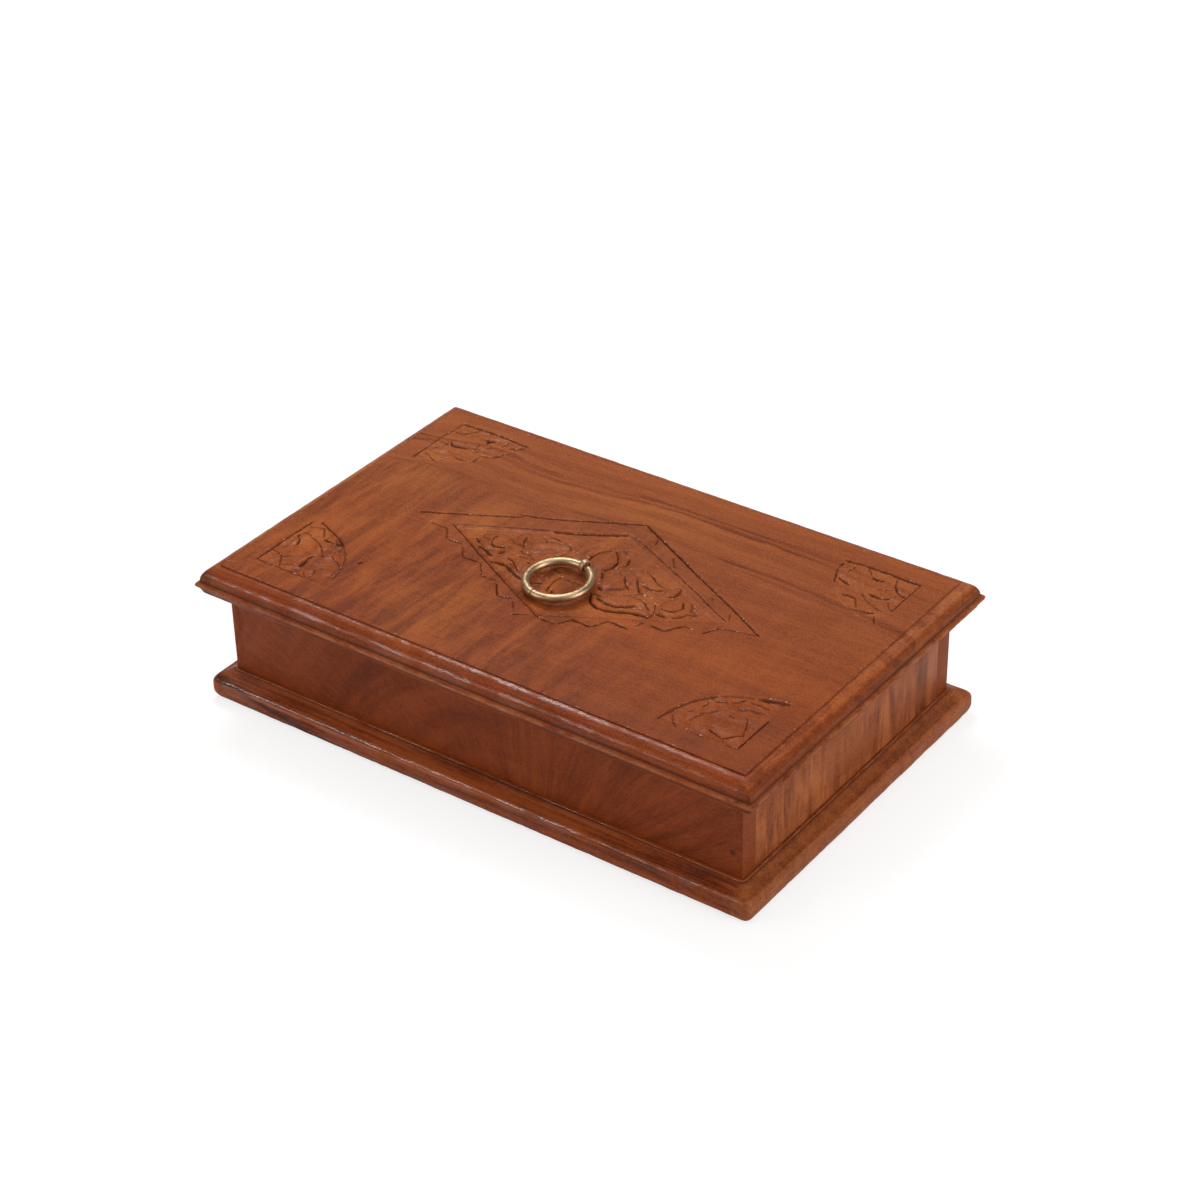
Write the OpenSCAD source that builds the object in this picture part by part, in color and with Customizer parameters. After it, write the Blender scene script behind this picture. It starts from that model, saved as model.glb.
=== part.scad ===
// A flat-lidded keepsake box of carved hardwood with a brass ring pull in the middle of its lid.
// The origin is the middle of the underside. +X runs along the length, the front faces -Y, +Z is up.
// The lid opens on two butt hinges at the back, and the ring swings in its eye.

/* [Box] */
// Length of the lid over its moulded edge
lid_l = 305; // [290:1:340]
// Width of the lid over its moulded edge
lid_w = 194; // [184:1:220]
// Height of the closed box from the table to the lid's flat top
box_h = 72; // [66:1:100]

/* [Boards] */
// Thickness of the lid board
lid_t = 14; // [14:0.5:18]
// Thickness of the base board
base_t = 15; // [15:0.5:20]
// Thickness of the four walls
wall_t = 10; // [10:0.5:13]
// How far the lid's edge stands out past the walls
overhang = 11.5; // [11:0.5:14]
// How far the base board's edge lies inside the lid's edge
base_inset = 1.9; // [1:0.1:2.4]

/* [Lid edge] */
// Distance from the lid's edge to its flat top
lid_flat_inset = 9; // [8:0.5:11]
// Drop of the scribed step round the flat top
step_drop = 0.7; // [0.4:0.1:1]
// Inset of the notch under the convex moulding
notch_inset = 1.7; // [1.2:0.1:2.2]
// Height of the notch above the lid's underside
notch_z = 6.1; // [5.8:0.1:6.6]
// Height of the fillet's lower edge above the lid's underside
fillet_z = 3.7; // [3.5:0.1:4]
// Height of the fillet's face
fillet_h = 1.7; // [1.4:0.1:2]
// Inset of the plain band under the fillet
band_inset = 0.9; // [0.6:0.1:1.2]

/* [Base edge] */
// Radius of the base edge's rounding at the table
base_round = 3.4; // [2.5:0.1:4]
// Height of the base edge's arris below the base's top
arris_drop = 3.4; // [3:0.1:4]
// Inset of the base edge's arris
arris_inset = 2.6; // [2:0.1:3.2]
// Width of the raised strip round the foot of the walls
strip_w = 1.7; // [1.2:0.1:2.2]
// Height of the raised strip
strip_h = 0.6; // [0.4:0.1:0.8]

/* [Ring pull] */
// Radius of the ring to the middle of its wire
ring_r = 15; // [13:0.5:17]
// Radius of the ring's wire
wire_r = 1.95; // [1.6:0.05:2.1]
// Clearance round the wire in the eye
eye_clearance = 0.35; // [0.3:0.05:0.5]
// Direction in which the ring lies, measured from +X
ring_dir = -108.4; // [-150:0.1:-30]
// Place of the eye along the width, from the middle of the lid
eye_y = -0.8; // [-3:0.1:3]
// Thickness of the eye's strip
eye_t = 1; // [0.8:0.1:1.2]
// Width of the eye's strip
eye_w = 2.4; // [2:0.1:2.8]

/* [Carving] */
// Length of the outer rhombus
rhombus_l = 189; // [175:1:200]
// Width of the outer rhombus
rhombus_w = 96; // [88:1:104]
// Length of the inner rhombus
inner_l = 150; // [140:1:160]
// Width of the inner rhombus
inner_w = 79; // [72:1:84]
// Radius of the quarter fans in the corners
fan_r = 40; // [36:0.5:42]
// Distance of a fan's corner from the lid's edge
fan_inset = 21.5; // [20:0.5:24]
// Width of the carved lines
cut_w = 1.2; // [0.8:0.1:1.6]
// Depth of the carved lines
cut_d = 0.9; // [0.6:0.1:1.2]

/* [Hinges] */
// Length of each hinge along its pin
hinge_l = 32; // [28:1:38]
// Width of each hinge leaf on the wood
leaf_w = 8.2; // [7.5:0.1:8.5]
// Thickness of the hinge leaves
leaf_t = 1.2; // [1.1:0.1:1.4]
// Outer radius of the hinge knuckles
knuckle_r = 2.25; // [2.1:0.05:2.5]
// Radius of the hinge pins
pin_r = 1; // [0.9:0.05:1.1]
// Distance from the middle of each hinge to the wall's end
hinge_end = 49; // [40:1:60]

/* [Hidden] */
$fn = 64;

// Running clearance of a hinge pin in the lid's knuckle
hinge_fit = 0.05;
// Clearance between hinge parts that pass each other
hinge_gap = 0.3;
// Sink of each leaf's face below the wood, so that only wood meets wood
leaf_sink = 0.1;
// Gap between the resting ring's far side and the lid
ring_rest_gap = 0.3;
// Overlap that makes a cut run clear of a face
cut_past = 1;
// Number of straight pieces in a quarter of a moulding's curve
arc_steps = 10;

// Plan sizes and levels of the boards
wall_l = lid_l - 2 * overhang;
hinge_x = wall_l / 2 - hinge_end;
wall_w = lid_w - 2 * overhang;
base_l = lid_l - 2 * base_inset;
base_w = lid_w - 2 * base_inset;
seam_z = box_h - lid_t;
wall_h = seam_z - base_t;
strip_inset = overhang - base_inset - strip_w;

// Nails through the long walls into the ends of the short ones
nail_r = 0.8;
nail_head_r = 1.4;
nail_head_h = 0.8;
nail_l = 26;
nail_sink = 0.8;
nail_heights = [0.28, 0.76];

// Screws up through the base board into the walls
base_screw_r = 1.9;
base_screw_head_r = 3.8;
base_screw_grip = 14;
base_screw_l = base_t + base_screw_grip;
base_screw_sink = 0.8;
base_screw_x = 0.35 * wall_l;

// Screws of the hinge leaves
leaf_screw_r = 1;
leaf_screw_head_r = 1.9;
leaf_screw_l = 8;
leaf_screw_x = 0.3 * hinge_l;
leaf_screw_y = 0.55 * leaf_w;

// Hinge axis and knuckles: one knuckle of the lid between two of the box
axis_y = wall_w / 2 + hinge_gap + knuckle_r;
lid_knuckle_l = 0.36 * hinge_l;
knuckle_gap = 0.2;
box_knuckle_l = (hinge_l - lid_knuckle_l) / 2 - knuckle_gap;

// Eye of the ring pull: loop, shoulder and two legs bent over under the lid
eye_bore_r = wire_r + eye_clearance;
eye_loop_r = eye_bore_r + eye_t;
eye_lift = 0.1;
eye_z = eye_loop_r + eye_lift;
eye_shoulder_r = 1.9;
eye_shoulder_h = 0.9;
eye_shank_r = 1.4;
eye_slit = 0.15;
eye_leg_l = 9;
eye_leg_t = 0.9;
ring_tilt = asin((eye_z - wire_r - ring_rest_gap) / (2 * ring_r));

// Carving: the middle of the rhombi and the steps cut outside their two front sides
rhombus_x = -2;
rhombus_y = 1.5;
steps_n = 5;
steps_start = [9, 6.5];
steps_end = [3, 1.5];
steps_flat = 0.55;

// Fans: arcs, teeth of the zigzag border and the cuts between the petals, as shares of the radius
fan_arcs = [0.28, 0.75, 1];
fan_teeth = 6;
fan_tooth_turn = 13;
fan_tooth_start = 0.3;
fan_tooth_r = [0.8, 0.94];
petal_fork = [0.54, 19];
petal_tips = [[0.34, 14], [0.68, 5], [0.66, 37]];
fan_rib = [0.33, 0.5];

// Share of a short cut's length by which it starts clear of its neighbour
cut_share = 0.2;

// Half of the middle flower and scroll, as bows from point to point with a height. The points are
// shares of half the inner rhombus, and the heights are shares of half its width.
flower = [
    [[0.035, 0.54], [0.08, 0.14], 0.1],
    [[0.06, 0.66], [0.16, 0.37], 0.05],
    [[0.1, 0.12], [0.31, 0.04], 0.13],
    [[0.32, -0.03], [0.17, -0.17], 0.1],
    [[0.23, 0.32], [0.51, 0.23], 0.1],
    [[0.3, 0.2], [0.39, 0.05], 0.03],
    [[0.59, 0.33], [0.56, 0.15], 0.05],
    [[0.62, 0.14], [0.82, 0], 0.07],
    [[0.8, -0.07], [0.63, -0.25], 0.07],
    [[0.69, 0.05], [0.63, -0.14], 0.07],
    [[0.38, -0.12], [0.55, -0.22], 0.05],
    [[0.5, -0.25], [0.24, -0.33], 0.08],
    [[0.6, -0.37], [0.2, -0.43], 0.1]];

// Points of a quarter ellipse from start to end degrees round a centre
function quarter(cx, cy, rx, ry, start, end) =
    [for (i = [0:arc_steps])
        let (a = start + (end - start) * i / arc_steps)
        [cx + rx * cos(a), cy + ry * sin(a)]];

// Edge profiles run from the underside to the top. Each point is [inset from the edge, height].
lid_edge = concat(
    quarter(2 * band_inset + 0.4, band_inset + 0.4, band_inset + 0.4, band_inset + 0.4, 270, 180),
    [[band_inset, fillet_z - 1], [band_inset + 0.7, fillet_z - 0.5]],
    [[0, fillet_z], [0, fillet_z + fillet_h], [notch_inset, notch_z - 0.1]],
    quarter(lid_flat_inset, notch_z, lid_flat_inset - notch_inset, lid_t - step_drop - notch_z, 180, 90),
    [[lid_flat_inset, lid_t]]);

base_edge = concat(
    quarter(base_round, base_round + 0.8, base_round, base_round + 0.8, 270, 180),
    quarter(arris_inset, base_t - 2 * arris_drop, arris_inset, arris_drop, 180, 90),
    [[strip_inset, base_t - strip_h], [strip_inset, base_t]]);

// Board with the same moulded edge on all four sides, its corners mitred
module moulded_board(l, w, edge) {
    n = len(edge);
    function outline(half) = concat(
        [for (p = edge) [half - p[0], p[1]]],
        [for (i = [n - 1:-1:0]) [edge[i][0] - half, edge[i][1]]]);
    intersection() {
        rotate([90, 0, 90]) linear_extrude(l + cut_past, center = true) polygon(outline(w / 2));
        rotate([90, 0, 0]) linear_extrude(w + cut_past, center = true) polygon(outline(l / 2));
    }
}

// Countersunk wood screw that points down from its head's flat face at the origin
module screw(r, head_r, l, slotted = true) {
    point_l = 2 * r;
    difference() {
        rotate_extrude()
            polygon([[0, 0], [head_r, 0], [r, r - head_r], [r, point_l - l], [0.2 * r, -l], [0, -l]]);
        if (slotted) {
            translate([-head_r, -0.15 * head_r, -0.35 * (head_r - r)])
                cube([2 * head_r, 0.3 * head_r, head_r]);
        }
    }
}

// Each corner's side signs
module at_corners() {
    for (sx = [-1, 1])
        for (sy = [-1, 1])
            translate([sx * (wall_l - wall_t) / 2, sy * wall_w / 2, 0])
                rotate([0, 0, sy > 0 ? 180 : 0])
                    children();
}

// Nails of one size, driven along +Y from the outer faces of the long walls
module nails(hole = false) {
    at_corners()
        for (h = nail_heights)
            translate([0, nail_sink, base_t + h * wall_h]) rotate([-90, 0, 0]) {
                cylinder(r = nail_r, h = nail_l);
                translate([0, 0, hole ? -nail_sink - cut_past : 0])
                    cylinder(r = nail_head_r, h = nail_head_h + (hole ? nail_sink + cut_past : 0));
            }
}

// Screws through the base board, two in each long wall and one in each short wall
module base_screws_set(hole = false) {
    places = [for (sx = [-1, 1], sy = [-1, 1]) [sx * base_screw_x, sy * (wall_w - wall_t) / 2]];
    ends = [for (sx = [-1, 1]) [sx * (wall_l - wall_t) / 2, 0]];
    for (p = concat(places, ends))
        translate([p[0], p[1], base_screw_sink]) rotate([180, 0, 0]) {
            screw(base_screw_r, base_screw_head_r, base_screw_l, !hole);
            if (hole) cylinder(r = base_screw_head_r, h = base_screw_sink + cut_past);
        }
}

module base_board() {
    color("sienna")
        difference() {
            moulded_board(base_l, base_w, base_edge);
            base_screws_set(hole = true);
        }
}

// Long wall on the given side; it laps over the ends of the short walls
module long_wall(side) {
    difference() {
        translate([-wall_l / 2, side > 0 ? wall_w / 2 - wall_t : -wall_w / 2, base_t])
            cube([wall_l, wall_t, wall_h]);
        nails(hole = true);
        base_screws_set(hole = true);
        if (side > 0) leaf_mortises(-1);
    }
}

module front_wall() {
    color("saddlebrown") long_wall(-1);
}

module back_wall() {
    color("saddlebrown") long_wall(1);
}

// Short wall on the given side, between the long walls
module short_wall(side) {
    difference() {
        translate([side > 0 ? wall_l / 2 - wall_t : -wall_l / 2, wall_t - wall_w / 2, base_t])
            cube([wall_t, wall_w - 2 * wall_t, wall_h]);
        nails(hole = true);
        base_screws_set(hole = true);
    }
}

module left_wall() {
    color("peru") short_wall(-1);
}

module right_wall() {
    color("peru") short_wall(1);
}

module wall_nails() {
    color("dimgray") nails();
}

module base_screws() {
    color("darkgoldenrod") base_screws_set();
}

// Beds of both hinge leaves in the wood. The side is -1 below the seam and 1 above it.
module leaf_mortises(side) {
    depth = leaf_t + leaf_sink;
    bed_z = seam_z - (side < 0 ? depth : cut_past);
    for (sx = [-1, 1])
        translate([sx * hinge_x - hinge_l / 2 - leaf_sink, wall_w / 2 - leaf_w, bed_z])
            cube([hinge_l + 2 * leaf_sink, axis_y - wall_w / 2 + leaf_w, depth + cut_past]);
    leaf_screws(side, hole = true);
}

// Screws of both leaves on one side of the seam
module leaf_screws(side, hole = false) {
    for (sx = [-1, 1], sy = [-1, 1])
        translate([sx * hinge_x + sy * leaf_screw_x, wall_w / 2 - leaf_screw_y, seam_z + side * leaf_sink])
            rotate([side > 0 ? 180 : 0, 0, 0])
                screw(leaf_screw_r, leaf_screw_head_r, leaf_screw_l, !hole);
}

// One hinge leaf with its knuckles, in place. Side -1 is the box's leaf and 1 is the lid's leaf.
module hinge_leaf(place, side) {
    knuckle_l = side < 0 ? box_knuckle_l : lid_knuckle_l;
    starts = side < 0 ? [-hinge_l / 2, hinge_l / 2 - box_knuckle_l] : [-lid_knuckle_l / 2];
    bore_r = side < 0 ? pin_r : pin_r + hinge_fit;
    plate_z = side < 0 ? -leaf_sink - leaf_t : leaf_sink;
    difference() {
        translate([place * hinge_x, axis_y, seam_z])
            difference() {
                union() {
                    translate([-hinge_l / 2, wall_w / 2 - axis_y - leaf_w, plate_z])
                        cube([hinge_l, leaf_w, leaf_t]);
                    for (x = starts) {
                        translate([x, wall_w / 2 - axis_y - leaf_w, plate_z])
                            cube([knuckle_l, axis_y - wall_w / 2 + leaf_w, leaf_t]);
                        translate([x, 0, 0]) rotate([0, 90, 0]) cylinder(r = knuckle_r, h = knuckle_l);
                    }
                }
                translate([-hinge_l, 0, 0]) rotate([0, 90, 0]) cylinder(r = bore_r, h = 2 * hinge_l);
            }
        leaf_screws(side, hole = true);
    }
}

module left_hinge_box_leaf() {
    color("goldenrod") hinge_leaf(-1, -1);
}

module right_hinge_box_leaf() {
    color("goldenrod") hinge_leaf(1, -1);
}

module left_hinge_lid_leaf() {
    color("goldenrod") hinge_leaf(-1, 1);
}

module right_hinge_lid_leaf() {
    color("goldenrod") hinge_leaf(1, 1);
}

// Hinge pin, as long as the hinge
module hinge_pin(place) {
    translate([place * hinge_x - hinge_l / 2, axis_y, seam_z])
        rotate([0, 90, 0])
            cylinder(r = pin_r, h = hinge_l);
}

module left_hinge_pin() {
    color("darkgoldenrod") hinge_pin(-1);
}

module right_hinge_pin() {
    color("darkgoldenrod") hinge_pin(1);
}

module box_leaf_screws() {
    color("darkgoldenrod") leaf_screws(-1);
}

module lid_leaf_screws() {
    color("darkgoldenrod") leaf_screws(1);
}

// Section of a carved line, with its mouth at height 0
module cut_section() {
    polygon([[0, -cut_d], [cut_w / 2, 0], [cut_w / 2, cut_past], [-cut_w / 2, cut_past], [-cut_w / 2, 0]]);
}

// Carved straight line between two points
module straight_cut(a, b) {
    run = b - a;
    translate([a[0], a[1], 0])
        rotate([0, 0, atan2(run[1], run[0])]) rotate([90, 0, 90])
            linear_extrude(norm(run))
                cut_section();
}

// Carved line through a list of points
module path_cut(points) {
    for (i = [1:len(points) - 1])
        straight_cut(points[i - 1], points[i]);
}

// Steps outside one front side of the rhombus, each a flat cut and a slanted one
module step_cuts(side) {
    pitch_x = (rhombus_l / 2 - steps_start[0] - steps_end[0]) / steps_n;
    pitch_y = (rhombus_w / 2 - steps_start[1] + steps_end[1]) / steps_n;
    start = [side * (rhombus_l / 2 - steps_start[0]), -steps_start[1]];
    path_cut([for (i = [0:steps_n - 1], k = [0, 1])
        start + [-side * (i + k * steps_flat) * pitch_x, -i * pitch_y]]);
}

// Carved bow from one point to another, with its height to the left of the way
module bow_cut(a, b, height) {
    run = b - a;
    half = norm(run) / 2;
    r = (half * half + height * height) / (2 * height);
    spread = asin(half / r);
    translate([a[0], a[1], 0])
        rotate([0, 0, atan2(run[1], run[0])]) translate([half, height - r, 0]) rotate([0, 0, 90 - spread])
            rotate_extrude(angle = 2 * spread) translate([r, 0]) cut_section();
}

// Right half of the middle flower and scroll
module flower_cuts() {
    half = [inner_l / 2, inner_w / 2];
    for (bow = flower)
        bow_cut([bow[0][0] * half[0], bow[0][1] * half[1]], [bow[1][0] * half[0], bow[1][1] * half[1]],
            bow[2] * half[1]);
}

// Point of a fan at a share of its radius and an angle
function fan_point(p) = fan_r * p[0] * [cos(p[1]), sin(p[1])];

// Point at a share of the way from one point to another
function between(a, b, share) = a + share * (b - a);

// Cuts on one side of a fan's middle, which part its petals
module petal_cuts() {
    for (tip = petal_tips)
        straight_cut(between(fan_point(petal_fork), fan_point(tip), cut_share), fan_point(tip));
}

// Zigzag of separate cuts along the fan's border
module zigzag_cuts() {
    points = [for (i = [0:fan_teeth])
        fan_point([fan_tooth_r[i % 2], 90 - fan_tooth_turn * (i + fan_tooth_start)])];
    for (i = [1:fan_teeth]) {
        a = points[i - 1];
        b = points[i];
        straight_cut(between(a, b, cut_share), between(b, a, cut_share));
    }
}

// Quarter fan with its right angle at the origin, opening towards +X and +Y
module fan_cuts() {
    straight_cut([0, 0], [fan_r, 0]);
    straight_cut([0, 0], [0, fan_r]);
    for (part = fan_arcs)
        rotate_extrude(angle = 90) translate([part * fan_r, 0]) cut_section();
    zigzag_cuts();
    petal_cuts();
    mirror([1, -1, 0]) petal_cuts();
    straight_cut(fan_point([fan_rib[0], 45]), fan_point([fan_rib[1], 45]));
}

module carving() {
    translate([rhombus_x, rhombus_y, box_h]) {
        path_cut([[-rhombus_l / 2, 0], [0, rhombus_w / 2], [rhombus_l / 2, 0]]);
        path_cut([[-inner_l / 2, 0], [0, inner_w / 2], [inner_l / 2, 0], [0, -inner_w / 2],
            [-inner_l / 2, 0]]);
        step_cuts(-1);
        step_cuts(1);
        flower_cuts();
        mirror([1, 0, 0]) flower_cuts();
    }
    for (sx = [0, 1], sy = [0, 1])
        mirror([sx, 0, 0]) mirror([0, sy, 0])
            translate([fan_inset - lid_l / 2, fan_inset - lid_w / 2, box_h])
                fan_cuts();
}

module lid_board() {
    color("sienna")
        difference() {
            translate([0, 0, seam_z]) moulded_board(lid_l, lid_w, lid_edge);
            carving();
            leaf_mortises(1);
            for (sx = [-1, 1])
                translate([sx * hinge_x - hinge_l / 2 - hinge_gap, axis_y, seam_z]) rotate([0, 90, 0])
                    cylinder(r = knuckle_r + hinge_gap, h = hinge_l + 2 * hinge_gap);
            translate([0, eye_y, seam_z - cut_past]) cylinder(r = eye_shank_r, h = lid_t + 2 * cut_past);
        }
}

// Places what follows at the eye's foot, with the resting ring along +X
module at_eye() {
    translate([0, eye_y, box_h]) rotate([0, 0, ring_dir]) children();
}

module ring_eye() {
    color("darkkhaki") at_eye() {
        difference() {
            union() {
                translate([0, 0, eye_z]) rotate([90, 0, 0])
                    cylinder(r = eye_loop_r, h = eye_w, center = true);
                cylinder(r = eye_shoulder_r, h = eye_shoulder_h);
                translate([0, 0, -lid_t]) cylinder(r = eye_shank_r, h = lid_t + eye_shoulder_h);
                translate([-eye_leg_l, -eye_w / 2, -lid_t - eye_leg_t])
                    cube([2 * eye_leg_l, eye_w, eye_leg_t]);
            }
            translate([0, 0, eye_z]) rotate([90, 0, 0])
                cylinder(r = eye_bore_r, h = eye_w + 2 * cut_past, center = true);
            translate([-eye_slit / 2, -eye_leg_l, -lid_t - eye_leg_t - cut_past])
                cube([eye_slit, 2 * eye_leg_l, lid_t + eye_leg_t + cut_past]);
        }
    }
}

module ring_pull() {
    color("darkkhaki") at_eye()
        translate([0, 0, eye_z]) rotate([0, ring_tilt, 0]) translate([ring_r, 0, 0])
            rotate_extrude() translate([ring_r, 0]) circle(r = wire_r);
}

base_board();
front_wall();
back_wall();
left_wall();
right_wall();
wall_nails();
base_screws();
left_hinge_box_leaf();
right_hinge_box_leaf();
left_hinge_pin();
right_hinge_pin();
box_leaf_screws();
lid_board();
left_hinge_lid_leaf();
right_hinge_lid_leaf();
lid_leaf_screws();
ring_eye();
ring_pull();
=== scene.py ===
# Looks of the flat-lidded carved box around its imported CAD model.
# Lengths are written in millimetres and turned into metres where a mesh is made.
import math

import bmesh
import bpy
import numpy as np
from mathutils import Matrix, Vector, noise


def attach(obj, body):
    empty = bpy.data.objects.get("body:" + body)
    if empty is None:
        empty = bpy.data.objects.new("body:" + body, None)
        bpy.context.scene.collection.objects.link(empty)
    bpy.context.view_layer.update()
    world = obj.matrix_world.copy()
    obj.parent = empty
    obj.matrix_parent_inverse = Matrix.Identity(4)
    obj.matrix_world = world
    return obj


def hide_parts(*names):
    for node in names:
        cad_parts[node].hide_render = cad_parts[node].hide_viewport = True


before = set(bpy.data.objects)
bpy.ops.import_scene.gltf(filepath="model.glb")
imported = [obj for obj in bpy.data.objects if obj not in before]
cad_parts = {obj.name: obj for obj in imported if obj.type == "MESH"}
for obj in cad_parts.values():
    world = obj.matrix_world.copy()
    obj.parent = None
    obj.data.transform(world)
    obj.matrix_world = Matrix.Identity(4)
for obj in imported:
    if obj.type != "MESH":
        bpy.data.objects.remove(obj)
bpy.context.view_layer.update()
MM = 0.001

# Sizes of the part, as in its source
LID_L, LID_W, BOX_H, LID_T, BASE_T = 305.0, 194.0, 72.0, 14.0, 15.0
OVERHANG, BASE_INSET, LID_FLAT = 11.5, 1.9, 9.0
STEP_DROP, NOTCH_INSET, NOTCH_Z, FILLET_Z, FILLET_H, BAND_INSET = 0.7, 1.7, 6.1, 3.7, 1.7, 0.9
BASE_ROUND, ARRIS_DROP, ARRIS_INSET, STRIP_W, STRIP_H = 3.4, 3.4, 2.6, 1.7, 0.6
SEAM_Z = BOX_H - LID_T
WALL_L, WALL_W, WALL_T = LID_L - 2 * OVERHANG, LID_W - 2 * OVERHANG, 10.0
STRIP_INSET = OVERHANG - BASE_INSET - STRIP_W
RING_R, WIRE_R, RING_DIR, EYE_Y, EYE_W, RING_JOINT = 15.0, 1.95, -108.4, -0.8, 2.4, 4.5
EYE_BORE_R = WIRE_R + 0.35
EYE_LOOP_R = EYE_BORE_R + 1.0
EYE_Z, EYE_SLACK = EYE_LOOP_R + 0.1, 0.9
RING_TILT = math.asin((EYE_Z - WIRE_R - 0.3) / (2 * RING_R))
HINGE_X, HINGE_L, LEAF_W, LEAF_BED, LEAF_PLAY = 92.0, 32.0, 8.2, 1.3, 0.1
HINGE_Y = WALL_W / 2 + 2.55
KNUCKLE_ROOM, KNUCKLE_PLAY = 2.55, 0.6
SCREW_X, SCREW_HEAD_R, SCREW_R, SCREW_SINK = 0.35 * WALL_L, 3.8, 1.9, 0.8
NAIL_R, NAIL_SHARES = 1.4, (0.28, 0.76)
EASE, SAME_PLACE = 0.35, 1e-6


# Meshes
def make_object(name, verts, faces, sharp=40):
    mesh = bpy.data.meshes.new(name)
    mesh.from_pydata([tuple(v) for v in np.asarray(verts, float) * MM], [], faces)
    mesh.validate()
    piece = bpy.data.objects.new(name, mesh)
    bpy.context.scene.collection.objects.link(piece)
    smooth(mesh, sharp)
    return piece


def smooth(mesh, sharp):
    mesh.polygons.foreach_set("use_smooth", [True] * len(mesh.polygons))
    mesh.set_sharp_from_angle(angle=math.radians(sharp))


def bumps(x, y, z):
    """Smooth noise at a place."""
    return noise.noise(Vector((x, y, z)))


def circle(steps):
    return [2 * math.pi * i / steps for i in range(steps)]


def quarter(cx, cy, rx, ry, start, end, steps=10):
    turns = [math.radians(start + (end - start) * i / steps) for i in range(steps + 1)]
    return [(cx + rx * math.cos(a), cy + ry * math.sin(a)) for a in turns]


def normals(path):
    """Unit normals along a path in a plane."""
    along = np.gradient(np.array(path), axis=0)
    along /= np.linalg.norm(along, axis=1)[:, None]
    return np.stack([-along[:, 1], along[:, 0]], 1)


def tube(rows, count, start=0):
    """Quads between closed loops of points that follow one another."""
    faces = []
    for k in range(start, start + (rows - 1) * count, count):
        for i in range(count):
            j = (i + 1) % count
            faces.append((k + i, k + j, k + count + j, k + count + i))
    return faces


LID_EDGE = (
    quarter(2 * BAND_INSET + 1.4, BAND_INSET, BAND_INSET, BAND_INSET, 270, 180, 5)
    + [(BAND_INSET + 0.85, FILLET_Z - 1.6), (BAND_INSET + 0.2, FILLET_Z - 0.5)]
    + [(0.35, FILLET_Z + 0.1), (0.05, FILLET_Z + 0.4), (0, FILLET_Z + FILLET_H - 0.5)]
    + [(0.25, FILLET_Z + FILLET_H - 0.05), (NOTCH_INSET, NOTCH_Z - 0.1)]
    + quarter(LID_FLAT, NOTCH_Z, LID_FLAT - NOTCH_INSET, LID_T - STEP_DROP - NOTCH_Z, 180, 90, 14)
    + [(LID_FLAT, LID_T - 0.15), (LID_FLAT + 0.15, LID_T)]
)


def shelf_point(share):
    """Point of the sloping shelf between the base's arris and the strip at the walls' foot."""
    low, high = (ARRIS_INSET, BASE_T - ARRIS_DROP), (STRIP_INSET, BASE_T - STRIP_H)
    return tuple(a + share * (b - a) for a, b in zip(low, high))


BASE_EDGE = (
    quarter(BASE_ROUND, BASE_ROUND + 2, BASE_ROUND, BASE_ROUND + 2, 270, 180, 8)
    + quarter(ARRIS_INSET, BASE_T - 2 * ARRIS_DROP, ARRIS_INSET, ARRIS_DROP, 180, 90, 8)
    + [shelf_point(0.75), shelf_point(0.92)]
    + [(STRIP_INSET, BASE_T - STRIP_H), (STRIP_INSET + 0.1, BASE_T - 0.12), (STRIP_INSET + 0.25, BASE_T),
       (STRIP_INSET + 1.2, BASE_T)]
)


def rounded_corner(x, y, half_l, half_w, r):
    """Point of a rectangle's outline moved onto the arc that rounds its corner."""
    cx, cy = half_l - r, half_w - r
    if abs(x) <= cx or abs(y) <= cy:
        return x, y
    dx, dy = abs(x) - cx, abs(y) - cy
    k = r / math.hypot(dx, dy)
    return math.copysign(cx + dx * k, x), math.copysign(cy + dy * k, y)


def edge_loops(half_l, half_w, edge, low, nx, ny, wobble, worn, seed):
    """Loops of a moulded edge round a board: points and quads, each loop nx + ny cells twice over."""
    ts = [2 * i / nx - 1 for i in range(nx)]
    us = [2 * i / ny - 1 for i in range(ny)]
    path = [(t, -1) for t in ts] + [(1, u) for u in us] + [(-t, 1) for t in ts] + [(-1, -u) for u in us]
    outward = normals(edge)
    points = []
    for k, (inset, z) in enumerate(edge):
        for t, u in path:
            x, y = t * (half_l - inset), u * (half_w - inset)
            if k == len(edge) - 1:
                points.append((x, y, low + z))
                continue
            rough = bumps(x * 0.11, y * 0.11, z * 0.3 + seed) + 0.7 * bumps(x * 0.35, y * 0.35, z * 0.5 + seed + 9)
            bite = max(0, bumps(x * 0.2, y * 0.2, seed + 30) - 0.25) * worn
            push = wobble * (rough - 0.6) - bite * (0.4 if z < 6 else 1)
            on_end, on_side = abs(t) == 1, abs(u) == 1
            inward = -push * abs(outward[k][0]) * (0.7 if on_end and on_side else 1)
            x, y = rounded_corner(x, y, half_l - inset, half_w - inset, 3 * worn)
            points.append((x - t * on_end * inward, y - u * on_side * inward, low + z + push * outward[k][1] * 0.6))
    return points, tube(len(edge), len(path)), len(path)


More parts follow.
